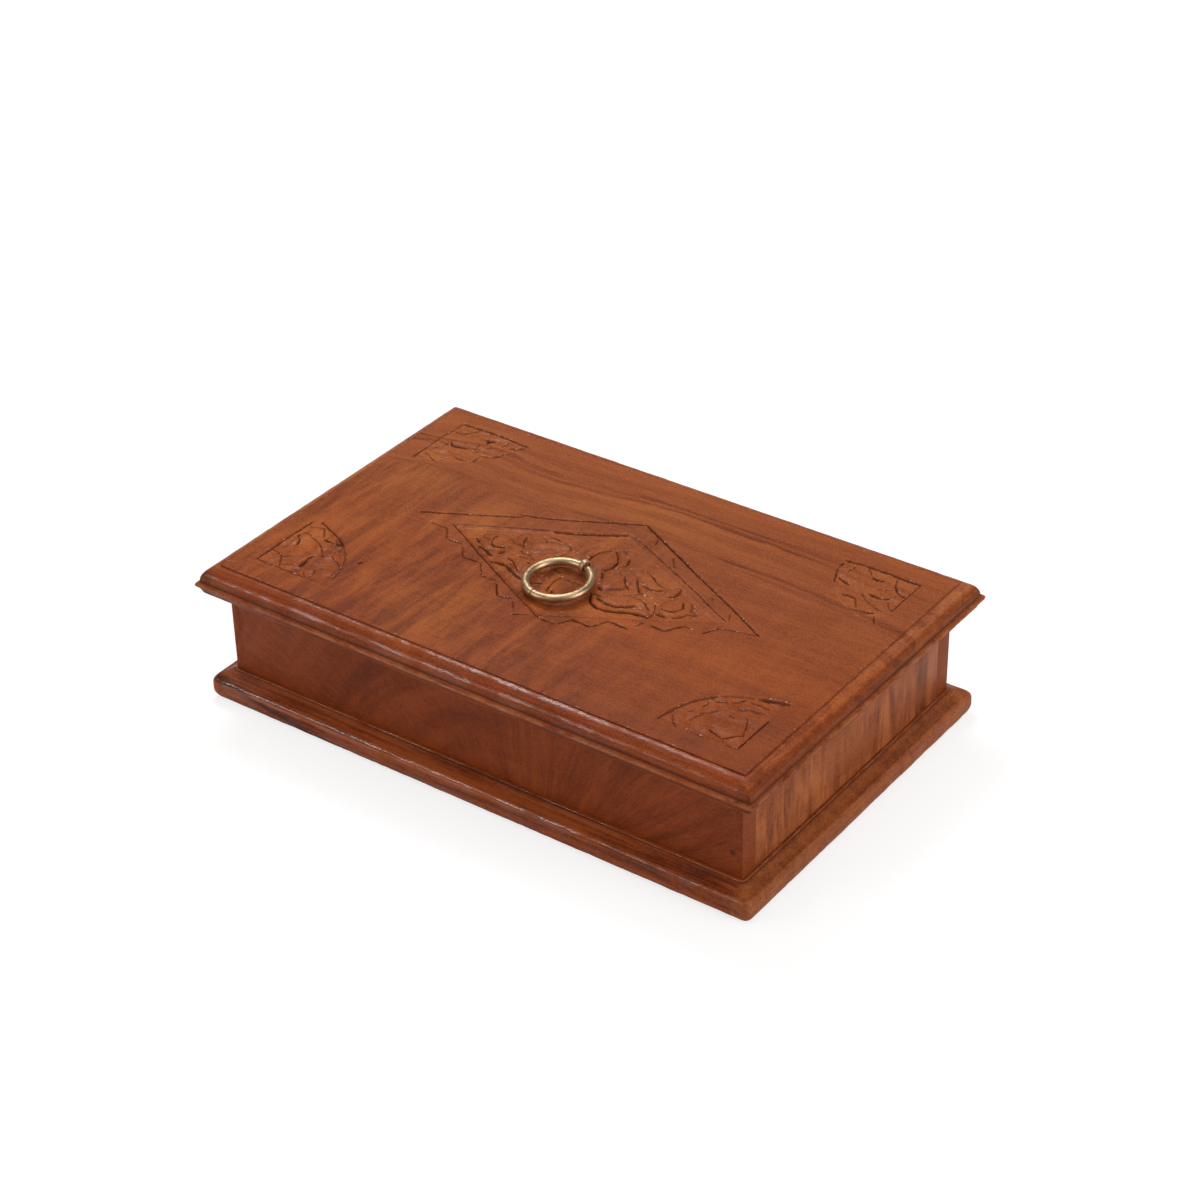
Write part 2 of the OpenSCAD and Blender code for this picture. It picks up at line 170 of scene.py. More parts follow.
# Carving. A cut is its kind, which is (width, depth), and its points, in millimetres from the middle of the lid.
LINE, THIN, SOFT, BOLD, PALE = (1.2, 0.85), (0.95, 0.6), (1.6, 0.5), (1.5, 1.05), (1.2, 0.3)
CHIP, ARC_WIDE, ARC_NARROW, ARC_END = (2.6, 1.3), (2.0, 0.7), (1.7, 0.42), (2.6, 0.95)
RHOMBUS_CUTS = [
    (BOLD, [(-96.7, 0.4), (-73, 12.6), (-53.6, 23.1)]),
    (BOLD, [(-54.8, 24.2), (-52.5, 25.5), (-46.9, 26.9), (-34.2, 32.7), (-18, 41.3), (-1.2, 49.7)]),
    (BOLD, [(-1.2, 49.7), (14, 41.8), (29.7, 33.8), (39.7, 28.3)]),
    (LINE, [(39.7, 28.3), (54.7, 20.7), (71.4, 12.3), (92.5, 0.7)]),
    (LINE, [(-76.9, 0.4), (-65.3, -5.7), (-51.4, -13.5), (-41.4, -18.6), (-24.2, -27.4), (-2.5, -38.2), (2.5, -41)]),
    (THIN, [(1.9, -38.5), (14.2, -31.3), (27.5, -24.1)]), (THIN, [(31.9, -22.4), (41.9, -16.7)]),
    (THIN, [(48, -13), (61.9, -5.5), (73.1, 0.4)]),
    (LINE, [(-34.2, 21.5), (-25.3, 25.4), (-16.4, 30.4), (-3.7, 37.7)]),
    (THIN, [(-76.9, 0.4), (-56, 11.2), (-36, 21)]),
    (THIN, [(-1, 38.2), (7, 35), (16.9, 30.4), (31.9, 23.5), (49.2, 15.1), (63, 7.9), (73.6, 2.6)]),
    (THIN, [(25.3, 32.6), (29.7, 27.2), (31.1, 25.9)]), (THIN, [(72.5, 8.2), (74.7, 3.7)]),
    (THIN, [(58.3, 15.4), (60, 13.3)]), (THIN, [(10.3, 42.6), (12.2, 37.3)]),
]
STEP_CUTS = [
    (THIN, [(-87.2, -4.2), (-77, -4.2)]), (THIN, [(-77, -4.3), (-71.5, -11.4)]), (LINE, [(-71, -11.8), (-65, -11.8)]),
    (THIN, [(-65, -11.8), (-62.5, -11)]), (THIN, [(-60.8, -13.1), (-55.5, -19.9)]),
    (LINE, [(-55.3, -20.1), (-47, -19.8)]), (THIN, [(-45.9, -19.1), (-38.6, -28.1)]),
    (LINE, [(-38.4, -28.2), (-30.8, -27.6)]), (LINE, [(-28.9, -29.6), (-22.6, -37.1)]),
    (LINE, [(-22.4, -37.3), (-16, -35.8)]), (THIN, [(-14, -36.6), (-9, -43.4)]), (LINE, [(-8, -45.8), (-1.5, -42)]),
    (LINE, [(1.1, -40.1), (4.4, -41.5), (12.7, -41.7)]), (LINE, [(14.1, -40.3), (16.4, -34.6)]),
    (BOLD, [(16.3, -34.4), (26.8, -34.5)]), (LINE, [(27.6, -33.6), (30.8, -26.8)]),
    (BOLD, [(30.8, -26.4), (41.4, -26.8)]), (SOFT, [(43, -23), (44.3, -18.5)]), (BOLD, [(48.6, -18.7), (55.6, -19.1)]),
    (BOLD, [(56, -18.8), (60.4, -11.5)]), (LINE, [(60.3, -11.4), (64.3, -11)]), (THIN, [(65, -11.3), (66.5, -11.5)]),
    (LINE, [(70.8, -11.2), (75, -3.6)]), (THIN, [(75, -3.4), (88.5, -0.2), (92.5, 0.8)]),
]

# Raised petals and leaves of the right half, as closed outlines. The left half mirrors them.
PETALS = [
    [(1.5, 27.4), (5.6, 24.1), (9.2, 21), (10.7, 17.4), (9.6, 14), (7.4, 11.4), (7, 15), (3.9, 20.6), (0.8, 24.6)],
    [(4.8, 5), (8, 8.4), (12, 9.2), (15.8, 8.2), (18, 4.9), (21, 1.4), (18, -2.4), (15.3, -4.8), (12, -5.6),
     (9, -3.2), (7.9, 1.2)],
    [(13.8, 14.6), (16.9, 16.7), (20.8, 17), (24.2, 16.1), (27.2, 14.5), (30, 12.2), (33.4, 10.8), (38, 10.2),
     (36, 7.4), (32, 6), (28, 7), (24.2, 9.6), (20, 11.4), (16, 12.4)],
    [(20.6, 9.4), (24.2, 8), (28.6, 5.4), (33, 4.4), (38, 3.4), (34, 1), (29.5, 0.6), (26.4, 3), (23.4, 6.4)],
    [(38.4, 12.6), (42.2, 14.4), (44.1, 10.9), (43.6, 8), (41.4, 5.4), (38.8, 4.6), (37.4, 6.8), (39.4, 9.6)],
    [(43.6, 5.4), (47, 7), (51, 7), (54.4, 5.8), (56.4, 3), (60.6, 0.1), (57, -1.9), (54.9, -5), (51.6, -7.9),
     (46.8, -8.4), (43.8, -5.6), (42.2, -1.2)],
    [(22.2, -6.6), (24.2, -4.1), (27.4, -3.6), (31, -3), (35.3, -4.4), (38.4, -6.8), (35.4, -8), (32.2, -10.2),
     (28.8, -12.9), (24.6, -14.3), (19.8, -14.2), (15.4, -12.2), (18.6, -9.6)],
    [(12, -12.4), (14.9, -17.2), (19.7, -19.4), (24.2, -19), (28.6, -17.6), (33.2, -15), (38.6, -13.8),
     (43.6, -13.2), (41.2, -9.8), (38.4, -8.6), (34.2, -11.2), (30.2, -14.4), (25.6, -16.1), (20, -16),
     (15.6, -14.4)],
]
MIDDLE_PETALS = [
    [(-0.6, 23.8), (2.8, 20.3), (5.9, 15.4), (5.7, 11.5), (3.6, 8), (0, 6.4), (-4, 8), (-6, 11.5), (-6, 14.8),
     (-4.9, 18.6), (-2.9, 21.6)],
    [(-8.3, -9.4), (-8.7, -14), (-7.6, -19.2), (-4.4, -23.4), (-1, -24.4), (2.4, -21), (3.8, -16), (3.2, -10.6),
     (0, -8.4), (-4.4, -8.2)],
]
FLOWER_CUTS = [
    (LINE, [(-5.8, 18.4), (-7, 14.6), (-6.8, 11), (-5.4, 9)]), (BOLD, [(5.9, 16.4), (6.5, 13), (5.7, 10.2), (4, 7.4)]),
    (THIN, [(-0.6, 24), (2.8, 20.6), (5.2, 17.2)]), (THIN, [(-0.9, 24), (-4.4, 20.6), (-6, 18)]),
    (LINE, [(4.3, 6), (8.1, 1)]), (THIN, [(1.7, 27.6), (5.6, 23.8)]), (LINE, [(8.9, 21.2), (10.6, 17.6), (10, 15.4)]),
    (LINE, [(14.7, 15.4), (18, 17), (22, 16.8), (26.9, 14.7), (29.9, 12.3), (33.1, 10.8), (37.5, 10.1)]),
    (LINE, [(20.8, 10), (24.4, 6), (28.3, 1.3)]), (THIN, [(26.9, 6.2), (31, 5.8), (34, 6.8), (36.4, 8.2)]),
    (THIN, [(8, 8.2), (11, 8.8), (15.8, 8.4)]), (LINE, [(41.9, 14.3), (43.7, 10.9), (43.4, 8.2), (41.6, 5.4)]),
    (LINE, [(50, 4.6), (51.6, 2), (52.6, 0.3), (51.4, -1.9), (50.2, -4.2), (47.5, -5), (44.2, -4.6)]),
    (THIN, [(53.6, 5.9), (55.8, 3.4), (56, 1), (60.8, 0)]),
    (THIN, [(59.7, -0.6), (56.6, -2), (55.2, -4.8), (52.4, -7.6)]), (BOLD, [(49.4, -9), (44.2, -8.5)]),
    (LINE, [(16.1, 7.6), (18, 4.8), (19.9, 2.4), (23, 1.5)]),
    (SOFT, [(21.9, 0.8), (20.2, -0.8), (18, -2.5), (15.2, -4.7)]),
    (SOFT, [(29.6, 0.9), (26.4, -1.8), (24.2, -4.1), (22.4, -6.4)]),
    (LINE, [(26.9, -4.1), (30.8, -3.1), (35.3, -4.5), (38, -6.8), (40.3, -8)]),
    (THIN, [(15.8, -10.8), (18.8, -9.3), (21.9, -7.4), (24.4, -5)]),
    (LINE, [(14.7, -12.4), (17.6, -13.6), (21.9, -14.4), (26.4, -14.2), (29.8, -12.2), (33, -9.2)]),
    (BOLD, [(10.3, -10.6), (12.5, -14.8), (15, -17.7), (19.7, -19.7), (24.2, -19.3), (28.6, -17.8),
            (33, -15.3), (38.6, -13.9), (43.6, -13.4)]),
    (THIN, [(39.2, -1.8), (41.9, -6.3), (43.9, -12.4)]), (LINE, [(9.7, -4.9), (13.2, -6.9)]),
    (LINE, [(10.3, -10.7), (16, -10.7)]), (LINE, [(-8.5, -7.4), (-8.8, -12), (-8.5, -16.5), (-7.4, -20.8)]),
    (LINE, [(-5.4, -19.6), (-3, -22.6)]), (THIN, [(-14.7, -4.6), (-9.7, -5.2)]), (THIN, [(-3.8, -8.4), (3.8, -7.8)]),
    (LINE, [(-18.4, 8.3), (-20.6, 5.8), (-20.9, 2.6)]), (LINE, [(-41.2, 10.2), (-40.4, 6.5), (-38, 3)]),
    (LINE, [(-30.8, 13.6), (-27, 14.9), (-24.7, 14)]), (LINE, [(-32.6, 17), (-30.8, 17.7), (-27.4, 17.3)]),
    (THIN, [(-34.8, 15.5), (-30.8, 12)]), (THIN, [(-24.2, 15.8), (-20.3, 14.8), (-17.4, 12.4)]),
    (BOLD, [(-51.4, -3.6), (-49.2, -4.7), (-46.4, -3.7), (-44.6, -2.3)]),
    (BOLD, [(-61.5, -2.2), (-59.4, -3.4), (-57.5, -4.8)]), (BOLD, [(-43, -4.4), (-44.8, -7.8)]),
    (BOLD, [(-56, -7.2), (-51.4, -8.4), (-48, -10.2), (-45.3, -10.9)]),
    (BOLD, [(-44, -15.3), (-40.8, -14.6), (-37.5, -14), (-34.2, -14.6), (-30.8, -16.3), (-26.9, -18), (-22.6, -19.3)]),
    (BOLD, [(-22.6, -19.3), (-18, -19.8), (-13, -17)]),
    (THIN, [(-39.4, -8.3), (-35.3, -9), (-32.4, -11.3), (-29, -13.6)]), (LINE, [(-34.4, -4.6), (-29.6, -4.6)]),
    (LINE, [(-27.5, -7.3), (-25.6, -8)]), (THIN, [(-48, 5.5), (-42.5, 3.7), (-35.3, 3.3), (-30.6, 4.4)]),
    (THIN, [(-53.2, 4), (-53.4, 0.8), (-51.8, -3)]), (THIN, [(-59, -0.9), (-56, -0.7), (-53.4, -1.4)]),
    (THIN, [(-38, 0.4), (-34.7, -1.3), (-31.4, -0.7), (-28, -2.4)]),
]

# Corner fans, each in a frame of its own: the corner at the origin, +X along the lid's length and
# +Y along its width, both towards the middle of the lid.
FANS = [
    # Front left
    ((-132.9, -74.2), (1, 1), [
        (LINE, [(0.1, 39.3), (-0.3, 23), (-0.1, 10.8), (-0.2, 0.3)]), (THIN, [(0.3, 0), (9, -0.3), (29.1, 0)]),
        (THIN, [(0, 10.8), (3.2, 10), (7.4, 8.5), (9.1, 6.2), (10.7, 3.7), (12.8, 0.8)]),
        (THIN, [(1.6, 30.6), (6.1, 29.8), (11.6, 27.9), (15.7, 25.8), (19.9, 22.5), (24.4, 17.6)]),
        (THIN, [(28.2, 8.5), (29.5, 4.6), (29.7, 1.2)]),
        (LINE, [(4.1, 40.9), (7.4, 39.9), (11.6, 38), (19.9, 34.7), (26.6, 30.1)]),
        (SOFT, [(26.6, 30.1), (30.7, 26.2), (34.5, 21.7), (37.4, 16.2), (39.1, 11.2), (39.9, 6)]),
        (THIN, [(1.6, 35.2), (6.1, 36.9), (8.6, 37.5), (10.3, 35.8), (12.8, 31.7)]),
        (BOLD, [(14.6, 30.5), (25, 30.2)]), (SOFT, [(26.6, 28.3), (27.8, 25)]),
        (THIN, [(26.6, 21.2), (29.5, 19.6), (33.2, 17.9), (36.6, 15.4)]),
        (BOLD, [(20.3, 17.5), (19.4, 14.4), (19.5, 11.2)]), (CHIP, [(19.5, 11.4), (20.4, 6.4)]),
        (LINE, [(18.6, 6.2), (15.7, 4.6), (12.4, 3.1)]), (THIN, [(24.1, 3.7), (28.2, 0.8)]),
        (THIN, [(8.2, 8.1), (11.6, 12.1)]), (LINE, [(2, 27.5), (3.2, 25.4), (5.7, 23.5), (6.6, 21), (6.6, 18.8)]),
    ]),
    # Front right
    ((130.75, -75), (-1, 1), [
        (LINE, [(-0.1, 24.5), (0, 12), (0, 0)]), (THIN, [(7.5, 0.2), (0, 0)]), (SOFT, [(25.4, 0.4), (16.2, -0.4)]),
        (ARC_WIDE, [(39.6, 0), (39.2, 3.7), (38, 9.1), (36.3, 14.5), (33.8, 20), (30.9, 23.7), (28, 27)]),
        (ARC_NARROW, [(28, 27), (23.8, 30.4), (19.6, 32.5), (15.5, 34.5), (11, 36)]),
        (ARC_END, [(11.5, 36), (7, 37.4), (2.9, 38.6), (-0.9, 39.2)]),
        (LINE, [(13.4, 32), (9.2, 31.6), (5.9, 31.6), (5, 32.4)]), (LINE, [(16.3, 31.6), (20, 27.5)]),
        (LINE, [(22.1, 26.4), (26.1, 24.3)]), (LINE, [(28.8, 22), (29, 18.3)]), (THIN, [(30.9, 13.7), (32.1, 11.6)]),
        (THIN, [(36.3, 6.2), (33, 1.6), (29.6, -0.9)]), (SOFT, [(3, 28.1), (10, 26.7), (14.6, 25), (18.4, 22.9)]),
        (SOFT, [(21.8, 19.5), (23.8, 17), (25.9, 15), (27, 11.6), (28, 7)]),
        (THIN, [(8.8, 21.2), (7.1, 19.1), (5.3, 15), (4.2, 11.6), (3.2, 10)]),
        (LINE, [(3.2, 10), (5, 8.3), (6.4, 7.4)]), (BOLD, [(5.6, 7.6), (7.8, 5.8)]),
        (LINE, [(18, 6), (14.6, 5), (11.3, 3.7), (8.8, 4.3), (7.5, 5.8)]), (THIN, [(16.3, 18.7), (13, 18.1)]),
        (THIN, [(8.8, 2.9), (7.8, 0.2)]),
    ]),
    # Back left
    ((-131.5, 77.7), (1, -1), [
        (BOLD, [(0.4, -0.1), (13.5, -0.5), (22.7, -0.5), (41, 0.6)]), (THIN, [(0.4, 0.7), (-0.5, 15.7), (-0.3, 31)]),
        (LINE, [(-0.3, 31), (-0.3, 39.2)]),
        (LINE, [(1.4, 8.1), (3.5, 8.1), (6, 6.9), (8.1, 5.2), (9.9, 3.1), (11.2, 1.3)]), (CHIP, [(19, 6), (23.8, 5)]),
        (CHIP, [(21.3, 5.6), (21.3, 8.4)]), (SOFT, [(19.6, 11), (20, 16.1)]),
        (BOLD, [(7, 18.2), (10.2, 19), (13.1, 18.4), (16, 17.9)]), (LINE, [(5.6, 16.5), (7, 18.6), (9.7, 19.8)]),
        (THIN, [(4, 19.7), (6.2, 20.2)]), (BOLD, [(6, 22.6), (3.8, 24)]), (LINE, [(3.8, 24), (2, 26.4)]),
        (THIN, [(2, 32.4), (4.3, 33), (7.2, 34.4), (10.2, 35.8)]), (SOFT, [(10.4, 35.4), (11.8, 34.6), (13.5, 31)]),
        (THIN, [(16, 27.8), (22.7, 28.2), (26, 27.6)]), (THIN, [(26.4, 27.2), (26.4, 20.3)]),
        (BOLD, [(26.8, 19.5), (30.2, 18.7), (35.1, 15.4)]), (THIN, [(35.2, 15.1), (34.5, 11.9)]),
        (BOLD, [(33.4, 6.6), (36.8, 5.2), (41, 3.4)]), (THIN, [(29.8, 2), (29.4, 8.2)]),
        (SOFT, [(27.2, 9.4), (24.6, 13)]), (LINE, [(20.7, 18.6), (22.6, 17.4)]),
    ]),
    # Back right
    ((130.4, 76), (-1, -1), [
        (BOLD, [(38.8, 0.4), (34.8, 0.5)]), (BOLD, [(34.6, 0.3), (31.7, -0.4), (19.2, -0.4), (9.6, 0), (0.1, 0.1)]),
        (THIN, [(0.1, 0.2), (0.3, 6.4), (0.3, 21), (0.1, 25.6)]), (THIN, [(11.6, 1), (10.8, 2.7), (9.5, 6.4)]),
        (LINE, [(9.5, 6.4), (7.9, 8.5), (5.4, 10.6), (3.3, 11.7), (0.4, 12.3)]),
        (PALE, [(28.8, 1.5), (28.3, 4), (27, 6.9), (25, 11), (21.6, 15.2), (19.1, 19.8)]),
        (THIN, [(19.1, 19.8), (15.8, 22.7), (11.6, 25.2), (6.6, 27.3), (2.5, 28.5)]),
        (BOLD, [(38.9, 3.4), (38.7, 5.2)]), (THIN, [(38.6, 5.4), (38.5, 8.5), (37, 12.3)]),
        (LINE, [(37, 12.3), (35, 17.3), (34.1, 19)]),
        (PALE, [(34.1, 19), (31, 23.5), (27, 28), (22, 32), (16, 35.3), (9, 38), (1, 39.2)]),
        (THIN, [(32.6, 2.7), (33.2, 8.5)]), (BOLD, [(34.4, 14.4), (27.6, 16.7)]), (BOLD, [(25.9, 25.2), (19.2, 25.4)]),
        (THIN, [(18.8, 25.5), (15.2, 31.3)]), (LINE, [(14.2, 32.7), (12.1, 32.7)]),
        (BOLD, [(12.1, 32.6), (9, 31.7), (6.3, 31)]), (THIN, [(5.1, 33.1), (0.7, 39.2)]),
        (THIN, [(26.7, 1), (24.6, 2.7), (22.1, 5.6)]), (CHIP, [(21, 6), (16.4, 6.2)]),
        (CHIP, [(19.4, 6.2), (18.8, 7.4)]), (BOLD, [(15.5, 19), (12.6, 19), (10, 19.6), (7.6, 18.5), (6.2, 17.2)]),
        (THIN, [(5.7, 19.4), (3.4, 23.1), (0.5, 25.2)]), (SOFT, [(5, 14.4), (6.4, 16.2)]),
        (THIN, [(9.6, 9.8), (12.6, 12.3), (14.6, 14)]),
    ]),
]
SCRATCHES = [((1, 0.12), [(82.5, 27.8), (84.2, 21.2)]), ((1.3, 0.1), [(-71.6, -48.8), (-69.2, -48.1)])]


def fan_strokes():
    return [(size, [(cx + sx * x, cy + sy * y) for x, y in points])
            for (cx, cy), (sx, sy), cuts in FANS for size, points in cuts]


FAN_REACH, FAN_DEPTH, FAN_EDGE = 39.0, 0.6, 1.3


def fan_room(px, py, corner, way):
    """Distance of each point from the border of a fan's quarter disc, positive inside it."""
    u, v = (px - corner[0]) * way[0], (py - corner[1]) * way[1]
    return np.minimum(np.minimum(u, v), FAN_REACH - np.hypot(u, v))


STROKES = RHOMBUS_CUTS + STEP_CUTS + FLOWER_CUTS + fan_strokes() + SCRATCHES
DARK_STROKES = [s for s in STROKES if s[0][1] > PALE[1]]
PALE_STROKES = [s for s in STROKES if s[0][1] <= PALE[1]]


def segment_reach(px, py, a, b):
    """Distance of each point from a segment and how far along it the nearest place lies."""
    ax, ay = a
    dx, dy = b[0] - ax, b[1] - ay
    length = math.hypot(dx, dy)
    t = np.clip(((px - ax) * dx + (py - ay) * dy) / (length * length), 0, 1)
    return np.hypot(px - ax - t * dx, py - ay - t * dy), t * length, length


def close_to(px, py, points, reach):
    """Which places lie in the box around some points, widened by the reach."""
    xs, ys = zip(*points)
    return np.flatnonzero((px > min(xs) - reach) & (px < max(xs) + reach)
                          & (py > min(ys) - reach) & (py < max(ys) + reach))


def stroke_depths(px, py, strokes):
    """Depth of the V-shaped cuts at each point, and how strongly their colour is marked there: painted shade in the
    dark cuts, lighter wear in the pale ones.
    """
    deep, dark = np.zeros(len(px)), np.zeros(len(px))
    for number, ((width, depth), points) in enumerate(strokes):
        near = close_to(px, py, points, width)
        if not len(near):
            continue
        best, place, before = np.full(len(near), 1e9), np.zeros(len(near)), 0.0
        for a, b in zip(points, points[1:]):
            d, s, length = segment_reach(px[near], py[near], a, b)
            closer = d < best
            best = np.where(closer, d, best)
            place = np.where(closer, before + s, place)
            before += length
        end = np.minimum(place, before - place)
        thin = np.clip(0.7 + 0.3 * end / (0.9 * width), 0.7, 1)
        thin *= 1 + 0.16 * np.sin(place * 0.9 + number * 1.7) + 0.08 * np.sin(place * 2.9 + number)
        v = depth * thin * np.clip(1.08 - best / (0.5 * width * thin), 0, 1)
        deep[near] = np.maximum(deep[near], v)
        # Painted shade in a dark cut, stronger for deeper cuts; lighter wear in a pale one
        mark = min(1, 0.25 + 0.7 * depth) * np.clip(1.4 - 1.4 * best / (0.55 * width * thin), 0, 1)
        dark[near] = np.maximum(dark[near], mark)
    return deep, dark


def inside_and_distance(px, py, outline):
    """Signed distance from a closed outline, positive inside it."""
    inside = np.zeros(len(px), bool)
    nearest = np.full(len(px), 1e9)
    for a, b in zip(outline, outline[1:] + outline[:1]):
        nearest = np.minimum(nearest, segment_reach(px, py, a, b)[0])
        if a[1] != b[1]:
            crosses = (a[1] > py) != (b[1] > py)
            at = a[0] + (py - a[1]) * (b[0] - a[0]) / (b[1] - a[1])
            inside ^= crosses & (px < at)
    return np.where(inside, nearest, -nearest)


def rounded_outline(points, rounds=2):
    """Outline with its corners cut off, twice over, so that it reads as a curve."""
    for _ in range(rounds):
        points = [((1 - s) * a[0] + s * b[0], (1 - s) * a[1] + s * b[1])
                  for a, b in zip(points, points[1:] + points[:1]) for s in (0.25, 0.75)]
    return points


GROUND = [(-76.5, 0.2), (-2.5, 39), (74, 0.6), (2, -40.6)]
GROUND_DEPTH, GROUND_EDGE, TOOLMARKS = 0.95, 1.6, 0.19
PETAL_FOOT, PETAL_RISE, PETAL_HIGH = 0.3, 2.2, 0.95


def relief(px, py):
    """Height of the ground and its petals without the cuts, how tooled it is, and the painted shade round the petals'
    foot.
    """
    room = inside_and_distance(px, py, GROUND)
    ground = GROUND_DEPTH * np.clip(room / GROUND_EDGE, 0, 1)
    height, dark = -ground, np.zeros(len(px))
    leaves = [rounded_outline(p) for p in PETALS]
    leaves += [rounded_outline([(-x - 1, y * 0.97 - 0.3) for x, y in p]) for p in PETALS]
    leaves += [rounded_outline(p) for p in MIDDLE_PETALS]
    for leaf in leaves:
        near = close_to(px, py, leaf, 1)
        d = inside_and_distance(px[near], py[near], leaf)
        rise = np.clip((d + PETAL_FOOT) / PETAL_RISE, 0, 1)
        dome = ground[near] * PETAL_HIGH * np.sqrt(rise) * (d > -PETAL_FOOT)
        height[near] = np.maximum(height[near], -ground[near] + dome)
        # Painted shade just outside each petal's outline, inside the ground
        foot = 0.5 * np.clip(1.2 - np.abs(d + 0.35) / 0.5, 0, 1) * np.clip(room[near], 0, 1)
        dark[near] = np.maximum(dark[near], foot)
    tooled = np.clip(room / 2, 0, 1)
    for corner, way, _ in FANS:
        room = fan_room(px, py, corner, way)
        near = np.flatnonzero(room > 0)
        patch = [bumps(a * 0.16, b * 0.16, 40) for a, b in zip(px[near], py[near])]
        share = np.clip(0.55 + 1.6 * np.array(patch), 0.1, 1)
        inner = np.clip(room[near] / FAN_EDGE, 0, 1)
        height[near] -= FAN_DEPTH * share * inner
        tooled[near] = 0.8 * inner
    return height, tooled, dark


# Lid top as cells that are finer where it is carved
CELLS_X, CELLS_Y, LEVELS = 103, 63, 3
# Distance from a cut and depth inside a carved ground where each finer level starts
FINER = (4, -2), (1.4, 0), (0.15, math.inf)
FLAT_X, FLAT_Y = LID_L / 2 - LID_EDGE[-1][0], LID_W / 2 - LID_EDGE[-1][0]


def wanted_levels():
    nx, ny = CELLS_X << LEVELS, CELLS_Y << LEVELS
    xs = (np.arange(nx) + 0.5) / nx * 2 * FLAT_X - FLAT_X
    ys = (np.arange(ny) + 0.5) / ny * 2 * FLAT_Y - FLAT_Y
    gx, gy = np.meshgrid(xs, ys)
    near = np.full(gx.shape, 99.0)
    for (width, _), points in STROKES:
        for a, b in zip(points, points[1:]):
            pad = width / 2 + 7
            i0, i1 = np.searchsorted(xs, (min(a[0], b[0]) - pad, max(a[0], b[0]) + pad))
            j0, j1 = np.searchsorted(ys, (min(a[1], b[1]) - pad, max(a[1], b[1]) + pad))
            part = near[j0:j1, i0:i1]
            reach = segment_reach(gx[j0:j1, i0:i1], gy[j0:j1, i0:i1], a, b)[0]
            np.minimum(part, reach - width / 2, out=part)
    room = inside_and_distance(gx.ravel(), gy.ravel(), GROUND).reshape(gx.shape)
    for corner, way, _ in FANS:
        room = np.maximum(room, fan_room(gx, gy, corner, way))
    want = np.zeros(gx.shape, int)
    for level, (cut, ground) in enumerate(FINER, 1):
        want[(near < cut) | (room > ground)] = level
    edge = 1 << LEVELS
    for rim in (want[:edge], want[-edge:], want[:, :edge], want[:, -edge:]):
        np.maximum(rim, 1, out=rim)
    return want


def lid_top():
    want = wanted_levels()
    leaves = []

    def split(i, j, level):
        size = 1 << (LEVELS - level)
        if level < LEVELS and want[j:j + size, i:i + size].max() > level:
            half = size // 2
            for di in (0, half):
                for dj in (0, half):
                    split(i + di, j + dj, level + 1)
        else:
            leaves.append((i, j, size))

    for j in range(CELLS_Y):
        for i in range(CELLS_X):
            split(i << LEVELS, j << LEVELS, 0)
    index = {}
    for i, j, s in leaves:
        for key in ((i, j), (i + s, j), (i + s, j + s), (i, j + s)):
            index.setdefault(key, len(index))
    faces = []
    for i, j, s in leaves:
        ring = [(i, j), (i + s, j), (i + s, j + s), (i, j + s)]
        face = []
        for k in range(4):
            a, b = ring[k], ring[(k + 1) % 4]
            face.append(index[a])
            middle = ((a[0] + b[0]) // 2, (a[1] + b[1]) // 2)
            if s > 1 and middle in index:
                face.append(index[middle])
        faces.append(face)
    keys = np.array(list(index), float)
    x = keys[:, 0] / (CELLS_X << LEVELS) * 2 * FLAT_X - FLAT_X
    y = keys[:, 1] / (CELLS_Y << LEVELS) * 2 * FLAT_Y - FLAT_Y
    return x, y, faces


def build_lid():
    x, y, top_faces = lid_top()
    deep, dark = stroke_depths(x, y, DARK_STROKES)
    scratched, pale = stroke_depths(x, y, PALE_STROKES)
    height, tooled, foot = relief(x, y)
    edge_room = np.minimum(FLAT_X - np.abs(x), FLAT_Y - np.abs(y))
    calm = np.clip(edge_room / 3, 0, 1)
    rough = np.array([bumps(a * 0.45, b * 0.45, 3) + 0.5 * bumps(a, b, 8) for a, b in zip(x, y)])
    wave = np.array([bumps(a * 0.03, b * 0.05, 20) for a, b in zip(x, y)])
    z = BOX_H + calm * (0.09 * wave - 0.06) + height - deep - scratched + tooled * TOOLMARKS * rough * calm
    low, low_faces, count = edge_loops(LID_L / 2, LID_W / 2, LID_EDGE, SEAM_Z, CELLS_X * 2, CELLS_Y * 2,
                                       wobble=0.13, worn=0.35, seed=1)
    verts = np.vstack([np.stack([x, y, z], 1), low])
    start = len(x)
    faces = top_faces + [[v + start for v in f] for f in low_faces]
    faces.append([start + i for i in range(count)][::-1])
    edge_shade, worn, polish = edge_marks(LID_EDGE, count, LID_SHADE, LID_WEAR_AND_SHEEN, LID_POLISH)
    rim = np.exp(-((deep - 0.22) / 0.12) ** 2) * (deep > 0.02)
    piece = make_object("carved_lid", verts, faces)
    # The cut mark carries painted shade in the cuts, round the petals' foot and in the edge's recesses; the worn mark
    # carries the pale scratches and the edge's wear with painted highlights
    marks = {"cut": (np.maximum(dark, foot), edge_shade), "tooled": (tooled, edge_shade * 0), "worn": (1.4 * pale, worn),
             "polish": (0.04 * tooled + 0.5 * rim, polish), "rounded": (x * 0, edge_shade * 0 + 1)}
    set_marks(piece, **{name: np.concatenate(values) for name, values in marks.items()})
    return weld(piece)


